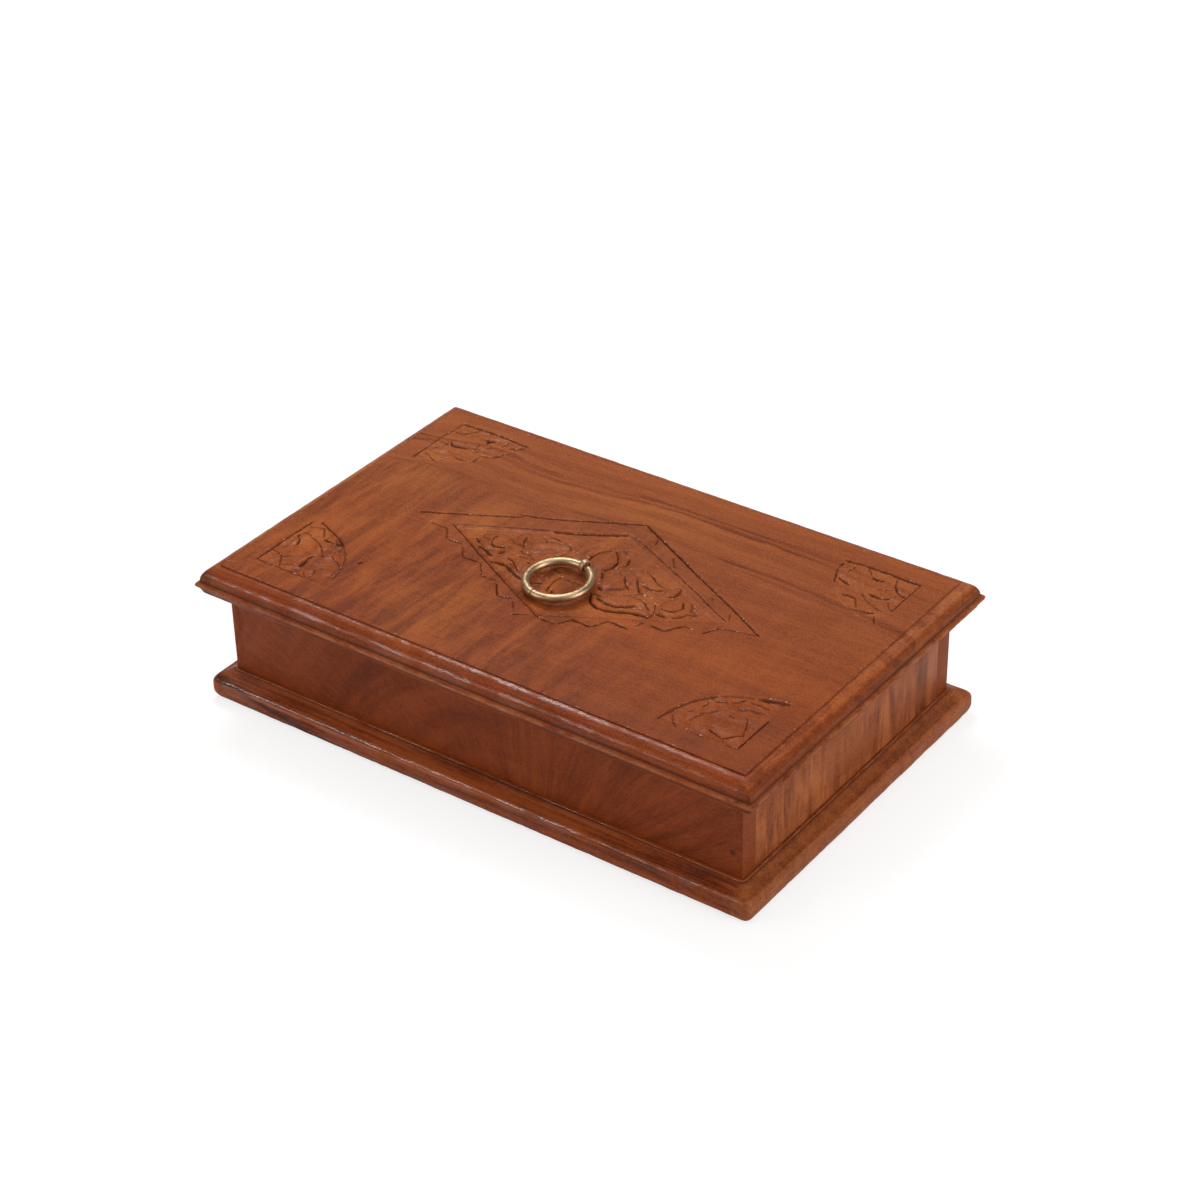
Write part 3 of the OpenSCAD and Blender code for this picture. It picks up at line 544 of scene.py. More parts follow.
# Levels at points of the edges' profiles: first painted shade in the recesses, that is the band under the lid's
# fillet, its notch, lower ovolo and scribed step, and the base's strip foot; then wear together with painted
# highlights on the lid's fillet and the base's arris and strip top, where they catch the light; then the coat's polish
LID_SHADE = {5: 0.4, 6: 0.5, 7: 0.6, 8: 0.6, 13: 0.85, 14: 0.55, 15: 0.3, 16: 0.15, -2: 0.7, -1: 0.4}
LID_WEAR_AND_SHEEN = {9: 0.4, 10: 1, 11: 1, 12: 0.2}
LID_POLISH = {**{k: 0.5 for k in range(6, 13)}, **{k: 0.65 for k in range(14, 29)}}
BASE_SHADE = {-4: 0.9, -5: 0.35}
BASE_WEAR_AND_SHEEN = {9: 0.3, 13: 0.5, 14: 0.7, -3: 0.8, -2: 1.0}
BASE_POLISH = {**{k: 0.4 for k in range(4, 10)}, **{k: 1.5 for k in range(10, 19)}, 19: 0.6, 21: 1.5, 22: 1.5}


def edge_marks(edge, count, *kinds):
    """Marks for each point of a moulded edge, each kind from levels at some of the profile's points."""
    found = []
    for marks in kinds:
        levels = np.zeros(len(edge))
        for k, level in marks.items():
            levels[k] = level
        found.append(np.repeat(levels, count))
    return found


def set_marks(piece, **marks):
    """Stores values at the points of a mesh for its material."""
    for name, values in marks.items():
        attribute = piece.data.attributes.new(name, "FLOAT", "POINT")
        attribute.data.foreach_set("value", np.asarray(values, np.float32))


def weld(piece):
    bm = bmesh.new()
    bm.from_mesh(piece.data)
    bmesh.ops.remove_doubles(bm, verts=bm.verts, dist=SAME_PLACE)
    bmesh.ops.recalc_face_normals(bm, faces=bm.faces)
    bm.to_mesh(piece.data)
    bm.free()
    return piece


def box_cutter(low, high):
    bm = bmesh.new()
    bmesh.ops.create_cube(bm, size=1)
    size = Vector(high) - Vector(low)
    middle = (Vector(high) + Vector(low)) / 2
    for v in bm.verts:
        v.co = Vector([middle[k] + v.co[k] * size[k] for k in range(3)]) * MM
    return bm


def lathe_cutter(profile, place, turn=None, steps=32):
    """Closed turned shape from (radius, height) pairs that start and end on the axis."""
    bm = bmesh.new()
    rings = []
    for r, h in profile:
        turns = circle(steps) if r else [0]
        rings.append([bm.verts.new((r * math.cos(a), r * math.sin(a), h)) for a in turns])
    for low, high in zip(rings, rings[1:]):
        for i in range(steps):
            j = (i + 1) % steps
            corners = [low[i % len(low)], low[j % len(low)], high[j % len(high)], high[i % len(high)]]
            bm.faces.new(list(dict.fromkeys(corners)))
    matrix = Matrix.Diagonal((MM, MM, MM, 1)) @ Matrix.Translation(place) @ (turn or Matrix.Identity(4))
    bmesh.ops.transform(bm, matrix=matrix, verts=bm.verts)
    bmesh.ops.recalc_face_normals(bm, faces=bm.faces)
    return bm


def cut_away(piece, cutters, sharp=40):
    """Subtracts closed cutter shapes from a closed piece, one after another."""
    for number, bm in enumerate(cutters):
        mesh = bpy.data.meshes.new("cutter")
        bm.to_mesh(mesh)
        bm.free()
        tool = bpy.data.objects.new("cutter", mesh)
        bpy.context.scene.collection.objects.link(tool)
        modifier = piece.modifiers.new("cut", "BOOLEAN")
        modifier.operation, modifier.solver, modifier.object = "DIFFERENCE", "EXACT", tool
        bpy.context.view_layer.update()
        result = bpy.data.meshes.new_from_object(piece.evaluated_get(bpy.context.evaluated_depsgraph_get()))
        piece.modifiers.clear()
        old, piece.data = piece.data, result
        result.name = piece.name
        bpy.data.meshes.remove(old)
        bpy.data.objects.remove(tool)
        bpy.data.meshes.remove(mesh)
    smooth(piece.data, sharp)


def hinge_room():
    """Beds of the hinge leaves in the lid and room for the knuckles."""
    shapes = []
    for middle in (-HINGE_X, HINGE_X):
        shapes.append(box_cutter((middle - HINGE_L / 2 - LEAF_PLAY, WALL_W / 2 - LEAF_W, SEAM_Z - 2),
                                 (middle + HINGE_L / 2 + LEAF_PLAY, HINGE_Y, SEAM_Z + LEAF_BED)))
        length = HINGE_L + KNUCKLE_PLAY
        shapes.append(lathe_cutter([(0, 0), (KNUCKLE_ROOM, 0), (KNUCKLE_ROOM, length), (0, length)],
                                   (middle - length / 2, HINGE_Y, SEAM_Z), Matrix.Rotation(math.pi / 2, 4, "Y")))
    return shapes


def build_base():
    half_l, half_w = LID_L / 2 - BASE_INSET, LID_W / 2 - BASE_INSET
    low, faces, count = edge_loops(half_l, half_w, BASE_EDGE, 0, 200, 126, wobble=0.16, worn=1.0, seed=50)
    last = (len(BASE_EDGE) - 1) * count
    faces += [list(range(count))[::-1], [last + i for i in range(count)]]
    piece = make_object("moulded_base", low, faces)
    # The cut mark carries painted shade at the strip's foot; the worn mark carries wear with painted highlights on the
    # arris and the strip's top
    edge_shade, worn, polish = edge_marks(BASE_EDGE, count, BASE_SHADE, BASE_WEAR_AND_SHEEN, BASE_POLISH)
    set_marks(piece, cut=edge_shade, worn=worn, polish=polish)
    weld(piece)
    deep = SCREW_SINK + SCREW_HEAD_R - SCREW_R
    profile = [(0, -1), (SCREW_HEAD_R + 0.02, -1), (SCREW_HEAD_R + 0.02, SCREW_SINK), (SCREW_R, deep), (0, deep)]
    places = [(sx * SCREW_X, sy * (WALL_W - WALL_T) / 2, 0) for sx in (-1, 1) for sy in (-1, 1)]
    places += [(sx * (WALL_L - WALL_T) / 2, 0, 0) for sx in (-1, 1)]
    cut_away(piece, [lathe_cutter(profile, p) for p in places])
    return piece


def softened(node, name):
    """Copy of a rigid CAD node with its edges eased."""
    piece = bpy.data.objects.new(name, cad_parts[node].data.copy())
    piece.data.materials.clear()
    bpy.context.scene.collection.objects.link(piece)
    bm = bmesh.new()
    bm.from_mesh(piece.data)
    bmesh.ops.remove_doubles(bm, verts=bm.verts, dist=SAME_PLACE)
    bmesh.ops.dissolve_limit(bm, angle_limit=math.radians(0.5), verts=bm.verts, edges=bm.edges)
    sharp = [e for e in bm.edges if len(e.link_faces) == 2 and e.calc_face_angle() > math.radians(35)]
    bmesh.ops.bevel(bm, geom=sharp, offset=EASE * MM, offset_type="OFFSET", segments=2, profile=0.6,
                    affect="EDGES", clamp_overlap=True)
    bm.to_mesh(piece.data)
    bm.free()
    smooth(piece.data, 30)
    return piece


def at_eye(points):
    """Points from the ring's frame, with +X the way in which it lies, into the lid's frame."""
    a = math.radians(RING_DIR)
    p = np.asarray(points, float)
    return np.stack([p[:, 0] * math.cos(a) - p[:, 1] * math.sin(a),
                     p[:, 0] * math.sin(a) + p[:, 1] * math.cos(a) + EYE_Y,
                     p[:, 2] + BOX_H], 1)


def build_ring(around=192, across=28):
    joint = math.radians(RING_JOINT)
    turns = sorted(circle(around) + [joint + k * 0.011 for k in (-2, -1, 0, 1, 2)])
    around = len(turns)
    points, cut = [], []
    for a in turns:
        r = RING_R + 0.07 * math.sin(2 * a + 0.6) + 0.04 * math.sin(5 * a)
        open_joint = math.exp(-((a - joint) / 0.014) ** 2)
        wire = WIRE_R * (1 + 0.012 * math.sin(3 * a + 1)) - 0.3 * open_joint
        cut += [open_joint] * across
        for b in circle(across):
            w = wire + 0.02 * bumps(r * math.cos(a) * 0.5, r * math.sin(a) * 0.5, 4 * math.sin(b))
            out = r + w * math.cos(b)
            x, y, z = out * math.cos(a) + RING_R, out * math.sin(a), w * math.sin(b)
            points.append((x * math.cos(RING_TILT) + z * math.sin(RING_TILT), y,
                           -x * math.sin(RING_TILT) + z * math.cos(RING_TILT) + EYE_Z))
    faces = [(i * across + k, ((i + 1) % around) * across + k, ((i + 1) % around) * across + (k + 1) % across,
              i * across + (k + 1) % across) for i in range(around) for k in range(across)]
    piece = make_object("brass_ring", at_eye(points), faces, 80)
    set_marks(piece, cut=cut)
    return piece


def build_eye():
    """Split pin of one strip: two legs under the lid, up through it, and round the ring's wire."""
    thick, air, bend = 0.82, 0.06, 0.22
    loop = EYE_BORE_R + thick / 2 + air
    half = thick / 2 + air
    path = [(-9, -14.46), (-2.2, -14.46), (-1.1, -14.3), (-0.55, -13.7), (-half, -12.6), (-half, -5), (-half, -0.6),
            (-0.7, 0.25)]
    start, end = math.radians(236), math.radians(-56)
    turns = [start + (end - start) * i / 22 for i in range(23)]
    path += [(loop * math.cos(a), EYE_Z + (loop + EYE_SLACK * (math.sin(a) > 0)) * math.sin(a)) for a in turns]
    path += [(-x, z) for x, z in reversed(path[:8])]
    path = np.array(path)
    fine = []
    for i in range(len(path) - 1):
        p = [path[max(i - 1, 0)], path[i], path[i + 1], path[min(i + 2, len(path) - 1)]]
        for t in np.linspace(0, 1, 3, endpoint=False):
            fine.append(0.5 * (2 * p[1] + (p[2] - p[0]) * t + (2 * p[0] - 5 * p[1] + 4 * p[2] - p[3]) * t * t
                               + (3 * p[1] - p[0] - 3 * p[2] + p[3]) * t ** 3))
    fine = np.array(fine + [path[-1]])
    section = []
    for sx, sy, first in ((1, 1, 0), (-1, 1, 90), (-1, -1, 180), (1, -1, 270)):
        section += quarter(sx * (EYE_W / 2 - bend), sy * (thick / 2 - bend), bend, bend, first, first + 90, 2)
    points = [(c[0] + n[0] * t, s, c[1] + n[1] * t) for c, n in zip(fine, normals(fine)) for s, t in section]
    k = len(section)
    faces = tube(len(fine), k) + [list(range(k))[::-1], [(len(fine) - 1) * k + a for a in range(k)]]
    return weld(make_object("ring_split_pin", at_eye(points), faces, 60))


def build_filler(steps=20):
    """Wood filler over the heads of the nails, a little hollow and just under the walls' faces."""
    points, faces = [], []
    for sx, sy, share in [(sx, sy, share) for sx in (-1, 1) for sy in (-1, 1) for share in NAIL_SHARES]:
        x, y, z = sx * (WALL_L - WALL_T) / 2, sy * WALL_W / 2, BASE_T + share * (SEAM_Z - BASE_T)
        start = len(points)
        for r, sunk in ((NAIL_R - 0.02, 0.7), (NAIL_R - 0.02, 0.1), (0.6 * NAIL_R, 0.22)):
            points += [(x + r * math.cos(a), y - sy * sunk, z + r * math.sin(a)) for a in circle(steps)]
        faces += tube(3, steps, start)
        faces += [[start + 2 * steps + i for i in range(steps)], [start + i for i in range(steps)][::-1]]
    return weld(make_object("nail_filler", points, faces, 30))


# Materials
class Value:
    """Number or colour that a node gives, to reckon with."""

    def __init__(self, nodes, socket):
        self.nodes, self.socket = nodes, socket

    def about(self, k):
        """Distance from 0.5, k times as large."""
        return (self - 0.5) * k

    def between(self, low, high):
        """0 below low and 1 above high, smooth between them."""
        inputs = {"Value": self, "From Min": low, "From Max": high}
        return self.nodes.add("ShaderNodeMapRange", inputs, interpolation_type="SMOOTHSTEP")

    def __abs__(self):
        return self.nodes.math("ABSOLUTE", self)

    def __sub__(self, other):
        return self.nodes.math("SUBTRACT", self, other)

    def __rsub__(self, other):
        return self.nodes.math("SUBTRACT", other, self)

    def __add__(self, other):
        return self.nodes.math("ADD", self, other)

    def __mul__(self, other):
        return self.nodes.math("MULTIPLY", self, other)

    def __radd__(self, other):
        return self + other

    def __rmul__(self, other):
        return self * other


class Nodes:
    """Short calls for building the node tree of a material or world."""

    def __init__(self, owner, shader="Principled BSDF"):
        owner.use_nodes = True
        self.owner, self.tree = owner, owner.node_tree
        self.shader = self.tree.nodes[shader]
        self.coords, self.facing = (self.add("ShaderNodeTexCoord", {}, name) for name in ("Object", "Normal"))

    def put(self, socket, value):
        if isinstance(value, Value):
            self.tree.links.new(value.socket, socket)
        else:
            socket.default_value = value

    def shade(self, values):
        for name, value in values.items():
            self.put(self.shader.inputs[name], value)

    def node(self, kind, inputs, **settings):
        node = self.tree.nodes.new(kind)
        for key, value in settings.items():
            setattr(node, key, value)
        for key, value in inputs.items():
            self.put(node.inputs[key], value)
        return node

    def add(self, kind, inputs, output=0, **settings):
        return Value(self, self.node(kind, inputs, **settings).outputs[output])

    def parts(self, vector):
        return [Value(self, part) for part in self.node("ShaderNodeSeparateXYZ", {"Vector": vector}).outputs]

    def math(self, operation, a, b=0.0, clamp=False):
        return self.add("ShaderNodeMath", {0: a, 1: b}, operation=operation, use_clamp=clamp)

    def at(self, x, y):
        return self.add("ShaderNodeCombineXYZ", {"X": x, "Y": y})

    def noise(self, vector, detail=3, rough=0.55, warp=0.0):
        inputs = {"Vector": vector, "Scale": 1.0, "Detail": detail, "Roughness": rough, "Distortion": warp}
        return self.add("ShaderNodeTexNoise", inputs, "Fac")

    def grain(self, scale, offset, detail=3, rough=0.55, warp=0.0, turn=(0, 0, 0)):
        """Noise at a scale per millimetre, one for all axes or one for each."""
        scale = scale if isinstance(scale, (tuple, list)) else (scale,) * 3
        inputs = {"Vector": self.coords, "Location": offset, "Rotation": [math.radians(t) for t in turn],
                  "Scale": [s / MM for s in scale]}
        return self.noise(self.add("ShaderNodeMapping", inputs), detail, rough, warp)

    def ramp(self, value, stops):
        node = self.node("ShaderNodeValToRGB", {"Fac": value})
        elements = node.color_ramp.elements
        while len(elements) < len(stops):
            elements.new(0.5)
        for element, (at, colour) in zip(elements, stops):
            element.position, element.color = at, colour + (1,)
        return Value(self, node.outputs["Color"])

    def blend(self, share, a, b):
        return self.add("ShaderNodeMix", {0: share, 2: a, 3: b})

    def mix(self, share, a, b, kind="MIX"):
        node = self.node("ShaderNodeMix", {}, data_type="RGBA", blend_type=kind)
        for k, value in ((0, share), (6, a), (7, b)):
            self.put(node.inputs[k], value + (1,) if isinstance(value, tuple) else value)
        return Value(self, node.outputs[2])

    def tinted(self, share, colour, tint):
        return self.mix(share, colour, self.mix(1.0, colour, tint, "MULTIPLY"))

    def attribute(self, name):
        return self.add("ShaderNodeAttribute", {}, "Fac", attribute_name=name)

    def curve(self, value, points):
        """Value through a curve given as points from 0 to 1."""
        node = self.node("ShaderNodeFloatCurve", {"Value": value})
        line = node.mapping.curves[0]
        while len(line.points) < len(points):
            line.points.new(0.5, 0.5)
        for point, place in zip(line.points, points):
            point.location = place
        node.mapping.update()
        return Value(self, node.outputs[0])

    def bump(self, height, distance, strength=1.0, normal=None):
        inputs = {"Height": height, "Distance": distance * MM, "Strength": strength}
        if normal:
            inputs["Normal"] = normal
        return self.add("ShaderNodeBump", inputs)


def material_nodes(name):
    return Nodes(bpy.data.materials.new(name))


DEEP, DARK, MIDDLE, LIGHT = (0.1, 0.024, 0.009), (0.19, 0.046, 0.015), (0.265, 0.068, 0.021), (0.36, 0.102, 0.03)
# Colours for painted shade in cuts and creases and for a real dark streak, for worn arrises with painted highlights,
# and for painted glints
SHADE_AND_STAIN, WORN_AND_LIT, GLINT_WHITE = (0.055, 0.015, 0.006), (0.42, 0.15, 0.06), (0.68, 0.5, 0.4)
ENDS = (LID_L / 2 - 10) * MM, (LID_L / 2 - 8) * MM
PORE = 0.6, 0.72
# Where looks change, in metres along, across and up the box
BACK_EDGE, WAX_FADE, TOP_EDGE = (0.084, 0.09), (0.02, 0.1), (0.0685, 0.0705)
BASE_ENDS, BASE_RIGHT, CROTCH_X, CROTCH_Z = (0.1395, 0.1425), (0.139, 0.145), 0.03, -0.04
STREAK_FALL, STREAK_SET, STREAK_LEFT, STREAK_FRONT = 0.171, 13.4, (-0.078, -0.096), (-0.0895, -0.0925)


def scaled(colour, k):
    return tuple(c * k for c in colour)


def fibres(n, axis, offset):
    """Long grain along an axis, each around 0.5: broad streaks, fine lines and pores."""
    def scale(small, large):
        return [small if k == axis else large for k in range(3)]

    return (n.grain(scale(0.006, 0.1), offset, 4, 0.6, 0.7), n.grain(scale(0.045, 0.6), offset, 5, 0.7, 0.8),
            n.grain(scale(0.28, 1.3), offset, 3, 0.75))


def wood_colour(n, tone, pores, fine, tint, grain):
    """Colour for a tone around 0.5, with its red, green and blue parts scaled by the tint, and dark pores."""
    speck = n.grain(1.1, (4, 4, 4), 2, 0.7)
    tone = tone + fine.about(0.6 * grain) + speck.about(0.7) + pores.about(0.5 * grain)
    stops = (0.12, DEEP), (0.34, DARK), (0.5, MIDDLE), (0.72, LIGHT)
    colour = n.ramp(tone, [(at, tuple(part * k for part, k in zip(c, tint))) for at, c in stops])
    return n.mix(pores.between(*PORE) * (0.4 + 0.2 * grain), colour, DEEP)


def finish_wood(n, colour, pores, fine, gloss):
    """Sheen and bump that all the wood shares, with its worn arrises lightened, partly as a painted highlight, and
    painted shade in its cuts and creases.
    """
    worn, cut = n.attribute("worn"), n.attribute("cut")
    # Lighter where worn: partly real wear, partly a painted highlight on arrises that catch the light
    rubbed_and_lit = worn * n.grain((0.12, 0.12, 0.4), (9, 2, 5), 3, 0.7).between(0.38, 0.62)
    colour = n.mix(rubbed_and_lit * 0.5, colour, WORN_AND_LIT)
    # Painted shade: darker in the cuts, round the petals' foot and in the creases of the mouldings
    colour = n.mix(cut.between(0.0, 0.95) * 0.78, colour, SHADE_AND_STAIN)
    smudge = n.grain(0.05, (7, 3, 1), 4, 0.65)
    rough = gloss + smudge.about(0.35) + fine.about(0.25) + cut * 0.2
    # The wax lies in patches, thinner at the back, to the right and at the ends, and not in the cuts
    x, y, _ = n.parts(n.coords)
    coat = n.attribute("polish") * (n.grain(0.07, (3, 8, 8), 3, 0.6).between(0.35, 0.6) * 0.65 + 0.15)
    coat = coat * (1 - y.between(*BACK_EDGE) * 0.65) * (1 - x.between(*WAX_FADE) * 0.6)
    coat = n.math("MULTIPLY", coat, abs(x).between(*ENDS[::-1]) + 0.35, clamp=True)
    ripple = n.grain(0.9, (6, 6, 1), 2, 0.6)
    normal = n.bump(fine * 0.7 - pores.between(*PORE) * 0.6, 0.16, 0.6)
    n.shade({"Base Color": colour, "Roughness": n.math("ADD", rough, clamp=True), "Specular IOR Level": 0.12,
             "Coat Weight": n.math("MULTIPLY", coat, 1 - cut * 0.8, clamp=True), "Coat Roughness": 0.1,
             "Coat Normal": n.bump(ripple + pores * 0.4, 0.13), "Normal": normal})
    return normal


def lid_material():
    n = material_nodes("carved_lid_wood")
    x, y, z = n.parts(n.coords)
    x01, y01 = x * (1 / (LID_L * MM)) + 0.5, y * (1 / (LID_W * MM)) + 0.5
    tooled, cut, rounded = n.attribute("tooled"), n.attribute("cut"), n.attribute("rounded")
    broad, fine, pores = fibres(n, 0, (0.4, 0.2, 0.1))
    # Straight long grain lies behind a line that bows over the lid, curly figure in front of it
    line = n.curve(x01, [(0, 0.625), (0.04, 0.645), (0.085, 0.668), (0.16, 0.686), (0.28, 0.672), (0.39, 0.69),
                         (0.52, 0.716), (0.66, 0.708), (0.8, 0.7), (1, 0.68)])
    wander = n.grain((0.012, 0.05, 0.05), (3, 8, 2)).about(0.06) + n.grain((0.05, 0.4, 0.4), (1, 6, 2)).about(0.022)
    above = y01 - line + wander
    # Dark streaks at set distances behind the line
    streaks = n.curve(n.math("MULTIPLY", above + 0.1, 2.0, clamp=True), [
        (0, 0.5), (0.165, 0.52), (0.185, 0.16), (0.205, 0.46), (0.23, 0.14), (0.25, 0.5), (0.33, 0.56), (0.38, 0.46),
        (0.45, 0.6), (0.47, 0.26), (0.495, 0.48), (0.52, 0.24), (0.54, 0.52), (0.6, 0.44), (0.66, 0.6), (0.8, 0.52),
        (1, 0.58)])
    broken = n.grain((0.014, 0.06, 0.06), (11, 3, 0), 3, 0.6).between(0.3, 0.62) * (1 - x01.between(0.7, 0.9) * 0.6)
    thread = n.noise(n.at(x01 * 2.4, above * 46.0), 4, 0.7, 0.1)
    straight = 0.5 + streaks.about(0.9) * broken + thread.about(0.42) + broad.about(0.15)
    # Curly bands run across the lid and fade towards its right
    curl = n.grain((0.1, 0.02, 0.02), (1.3, 0.4, 0), 2, 0.5, 0.5, (0, 0, 8))
    curl_fine = n.grain((0.27, 0.045, 0.05), (5, 2, 0), 3, 0.6, 0.6, (0, 0, 12))
    fiddle = n.grain((0.36, 0.05, 0.05), (5, 2, 0), 3, 0.6, 0.5, (0, 0, 4))
    cloud = n.grain((0.012, 0.014, 0.02), (2.2, 4.1, 0), 3, 0.5)
    drift = n.grain((0.011, 0.07, 0.07), (6, 1, 3), 4, 0.6, 0.5)
    left = (x01 + cloud.about(0.5)).between(0.72, 0.5)
    corner = x01.between(0.26, 0.14) * above.between(-0.2, -0.1)
    bands = (curl.about(0.8) + curl_fine.about(0.6) + fiddle.about(0.9) * corner) * (left * 0.75 + 0.25)
    bands = bands * (1 - n.math("MAXIMUM", rounded, y01.between(0.4, 0.6) * 0.5) * 0.75)
    curly = 0.49 + bands + cloud.about(0.4) + drift.about(0.5) * (1 - left)
    # Fine lines run along the moulded edge
    ends = abs(x).between(*ENDS)
    strips = n.blend(ends, n.grain((0.03, 0.7, 0.7), (3, 2, 1), 3, 0.65, 0.3),
                     n.grain((0.7, 0.03, 0.7), (5, 1, 2), 3, 0.65, 0.3))
    tone = n.blend(above.between(-0.03, 0.02), curly, straight) + strips.about(0.6) * rounded
    # Lighter towards the back, a painted sheen, and a little darker towards the right
    tone = tone + (0.5 - x01) * 0.05 + (y01 - 0.45) * 0.11
    colour = wood_colour(n, tone, pores, fine, (1.0, 0.94, 0.85), 0.6)
    blots = n.grain((0.08, 0.08, 0.2), (2, 7, 1), 3, 0.7).between(0.5, 0.62)
    high, turned = z.between(*TOP_EDGE), rounded * ends
    # Tints: deeper towards the front, going with the painted sheen at the back; lighter cloudy figure on the left; the
    # moulded edge; the carved ground; on the moulding at the ends a painted sheen, lighter and greyer, on the upper
    # band, and darker below it; blots there
    for share, tint in ((y01.between(0.75, 0.3), (0.99, 0.86, 0.62)),
                        (left * cloud.between(0.42, 0.62), (1.06, 1.16, 1.02)), (rounded, (0.98, 0.84, 0.58)),
                        (tooled, (1.16, 1.2, 1.05)), (turned * high, (1.25, 1.7, 3.2)),
                        (turned * (1 - high), (0.84, 0.9, 0.9)), (turned * blots, (0.78, 0.74, 0.74))):
        colour = n.tinted(share, colour, tint)
    ground = tooled * n.grain(0.45, (1, 1, 1), 3, 0.6).between(0.45, 0.7)
    colour = n.mix(ground * 0.12, colour, DARK)
    # Painted glints: whitish specks on the rims of the cuts
    glint_specks = n.grain(0.6, (2, 5, 3), 3, 0.7).between(0.59, 0.64)
    rim = cut.between(0.02, 0.2) * cut.between(0.7, 0.3) * (1 - rounded)
    normal = finish_wood(n, n.mix(glint_specks * rim * 0.8, colour, GLINT_WHITE), pores, fine, 0.42)
    chisel = n.grain(0.55, (3, 1, 4))
    n.shade({"Normal": n.bump(chisel * tooled, 0.3, 0.5, normal)})
    return n.owner


def looks_along(n, axis):
    """1 on the faces that look along the axis, which show end grain."""
    return abs(n.parts(n.facing)[axis]).between(0.55, 0.85)


def end_grain(n, tone, axis):
    """Tone with fine speckle and a darker level on the faces that look along the grain."""
    rings, dots = n.grain((0.3, 0.05, 0.5), (2, 2, 7), 4, 0.7, 0.6), n.grain(1.6, (5, 5, 5), 2, 0.7)
    return n.blend(looks_along(n, axis), tone, 0.42 + rings.about(0.3) + dots.about(0.25))


def crotch_material():
    """Long wall: growth rings and rays that spread from a place below the wall's middle."""
    n = material_nodes("long_wall_wood")
    _, fine, pores = fibres(n, 0, (1, 2, 3))
    x, _, z = n.parts(n.coords)
    across, high = x - CROTCH_X, z - CROTCH_Z
    far, angle = n.math("SQRT", across * across + high * high), n.math("ARCTAN2", high, across)
    rings = n.noise(n.at(far * 55.0, angle * 0.7), 4, 0.65, 0.5)
    rays = n.noise(n.at(angle * 11.0, far * 9.0), 4, 0.65, 0.5)
    hair = n.noise(n.at(angle * 90.0, far * 110.0), 4, 0.7, 0.6)
    cloud = n.grain((0.015, 0.015, 0.03), (2, 1, 6), 3, 0.5)
    right = (x + cloud.about(0.1)).between(-0.02, 0.05)
    tone = 0.47 + n.blend(right, rings.about(0.9), rays.about(0.9)) + cloud.about(0.3) + hair.about(0.55)
    colour = wood_colour(n, end_grain(n, tone, 0), pores, fine, (0.82, 0.58, 0.35), 0.3)
    finish_wood(n, n.tinted(looks_along(n, 0), colour, (1.12, 1.34, 1.5)), pores, fine, 0.5)
    return n.owner


def ribbon_material():
    """Short wall: soft upright ribbons across the long grain."""
    n = material_nodes("short_wall_wood")
    broad, fine, pores = fibres(n, 1, (4, 1, 2))
    ribbons = n.grain((0.1, 0.11, 0.018), (4, 1, 2), 3, 0.55, 1.2, (10, 0, 0))
    narrow = n.grain((0.24, 0.24, 0.03), (1, 7, 2), 3, 0.6, 1.0, (6, 0, 0))
    cloud = n.grain((0.015, 0.02, 0.05), (3, 7, 1), 3, 0.5)
    bands = (ribbons.about(1.2) + narrow.about(0.5)) * (cloud.between(0.35, 0.6) + 0.35)
    tone = 0.51 + bands + broad.about(0.3) + cloud.about(0.2)
    finish_wood(n, wood_colour(n, end_grain(n, tone, 1), pores, fine, (1.04, 1.08, 1.08), 0.7), pores, fine, 0.45)
    return n.owner


def base_material():
    n = material_nodes("base_wood")
    x, y, z = n.parts(n.coords)
    broad, fine, pores = fibres(n, 0, (2, 6, 1))
    waves = n.grain((0.03, 0.05, 0.1), (6, 3, 3), 3, 0.6, 0.8, (0, 0, 12))
    threads = n.grain((0.012, 0.38, 0.38), (2, 9, 4), 4, 0.7, 0.4)
    tone = 0.48 + broad.about(0.6) + waves.about(0.55) + threads.about(2.0)
    mottled = 0.48 + n.grain((0.3, 0.014, 0.3), (2, 1, 4), 4, 0.7, 0.4).about(0.6)
    mottled = mottled + n.grain(0.12, (2, 9, 4), 4, 0.7, 0.5).about(0.7)
    tone = n.blend(abs(x).between(*BASE_ENDS), tone, mottled)
    # A dark streak crosses the rounded edge at its left front
    drop = n.math("DIVIDE", z, MM) + x * (STREAK_FALL / MM) + STREAK_SET
    drop = drop + n.grain((0.05, 0.3, 0.3), (1, 1, 7)).about(5.0)
    streak = abs(drop).between(2.2, 0.4) * x.between(*STREAK_LEFT) * y.between(*STREAK_FRONT)
    colour = wood_colour(n, tone, pores, fine, (1.0, 0.77, 0.5), 0.6)
    # Painted sheen: lighter and greyer on the base's right end
    colour = n.tinted(x.between(*BASE_RIGHT), colour, (1.06, 1.42, 1.95))
    finish_wood(n, n.mix(streak * 0.85, colour, SHADE_AND_STAIN), pores, fine, 0.4)
    return n.owner


def metal(name, colour, dull, rough, grain):
    """Metal with brushing along the grain, dull patches and fine scratches."""
    n = material_nodes(name)
    lines = n.grain(grain, (2, 2, 2), 3, 0.6)
    mixed = n.grain(0.12, (1, 5, 2), 4, 0.6) * 0.7 + lines * 0.3
    shown = n.mix(n.attribute("cut"), n.ramp(mixed, [(0.35, dull), (0.6, colour)]), scaled(dull, 0.15))
    n.shade({"Base Color": shown, "Metallic": 1.0, "Roughness": n.math("ADD", mixed * 0.25, rough, clamp=True),
             "Normal": n.bump(lines, 0.03, 0.5)})
    return n.owner


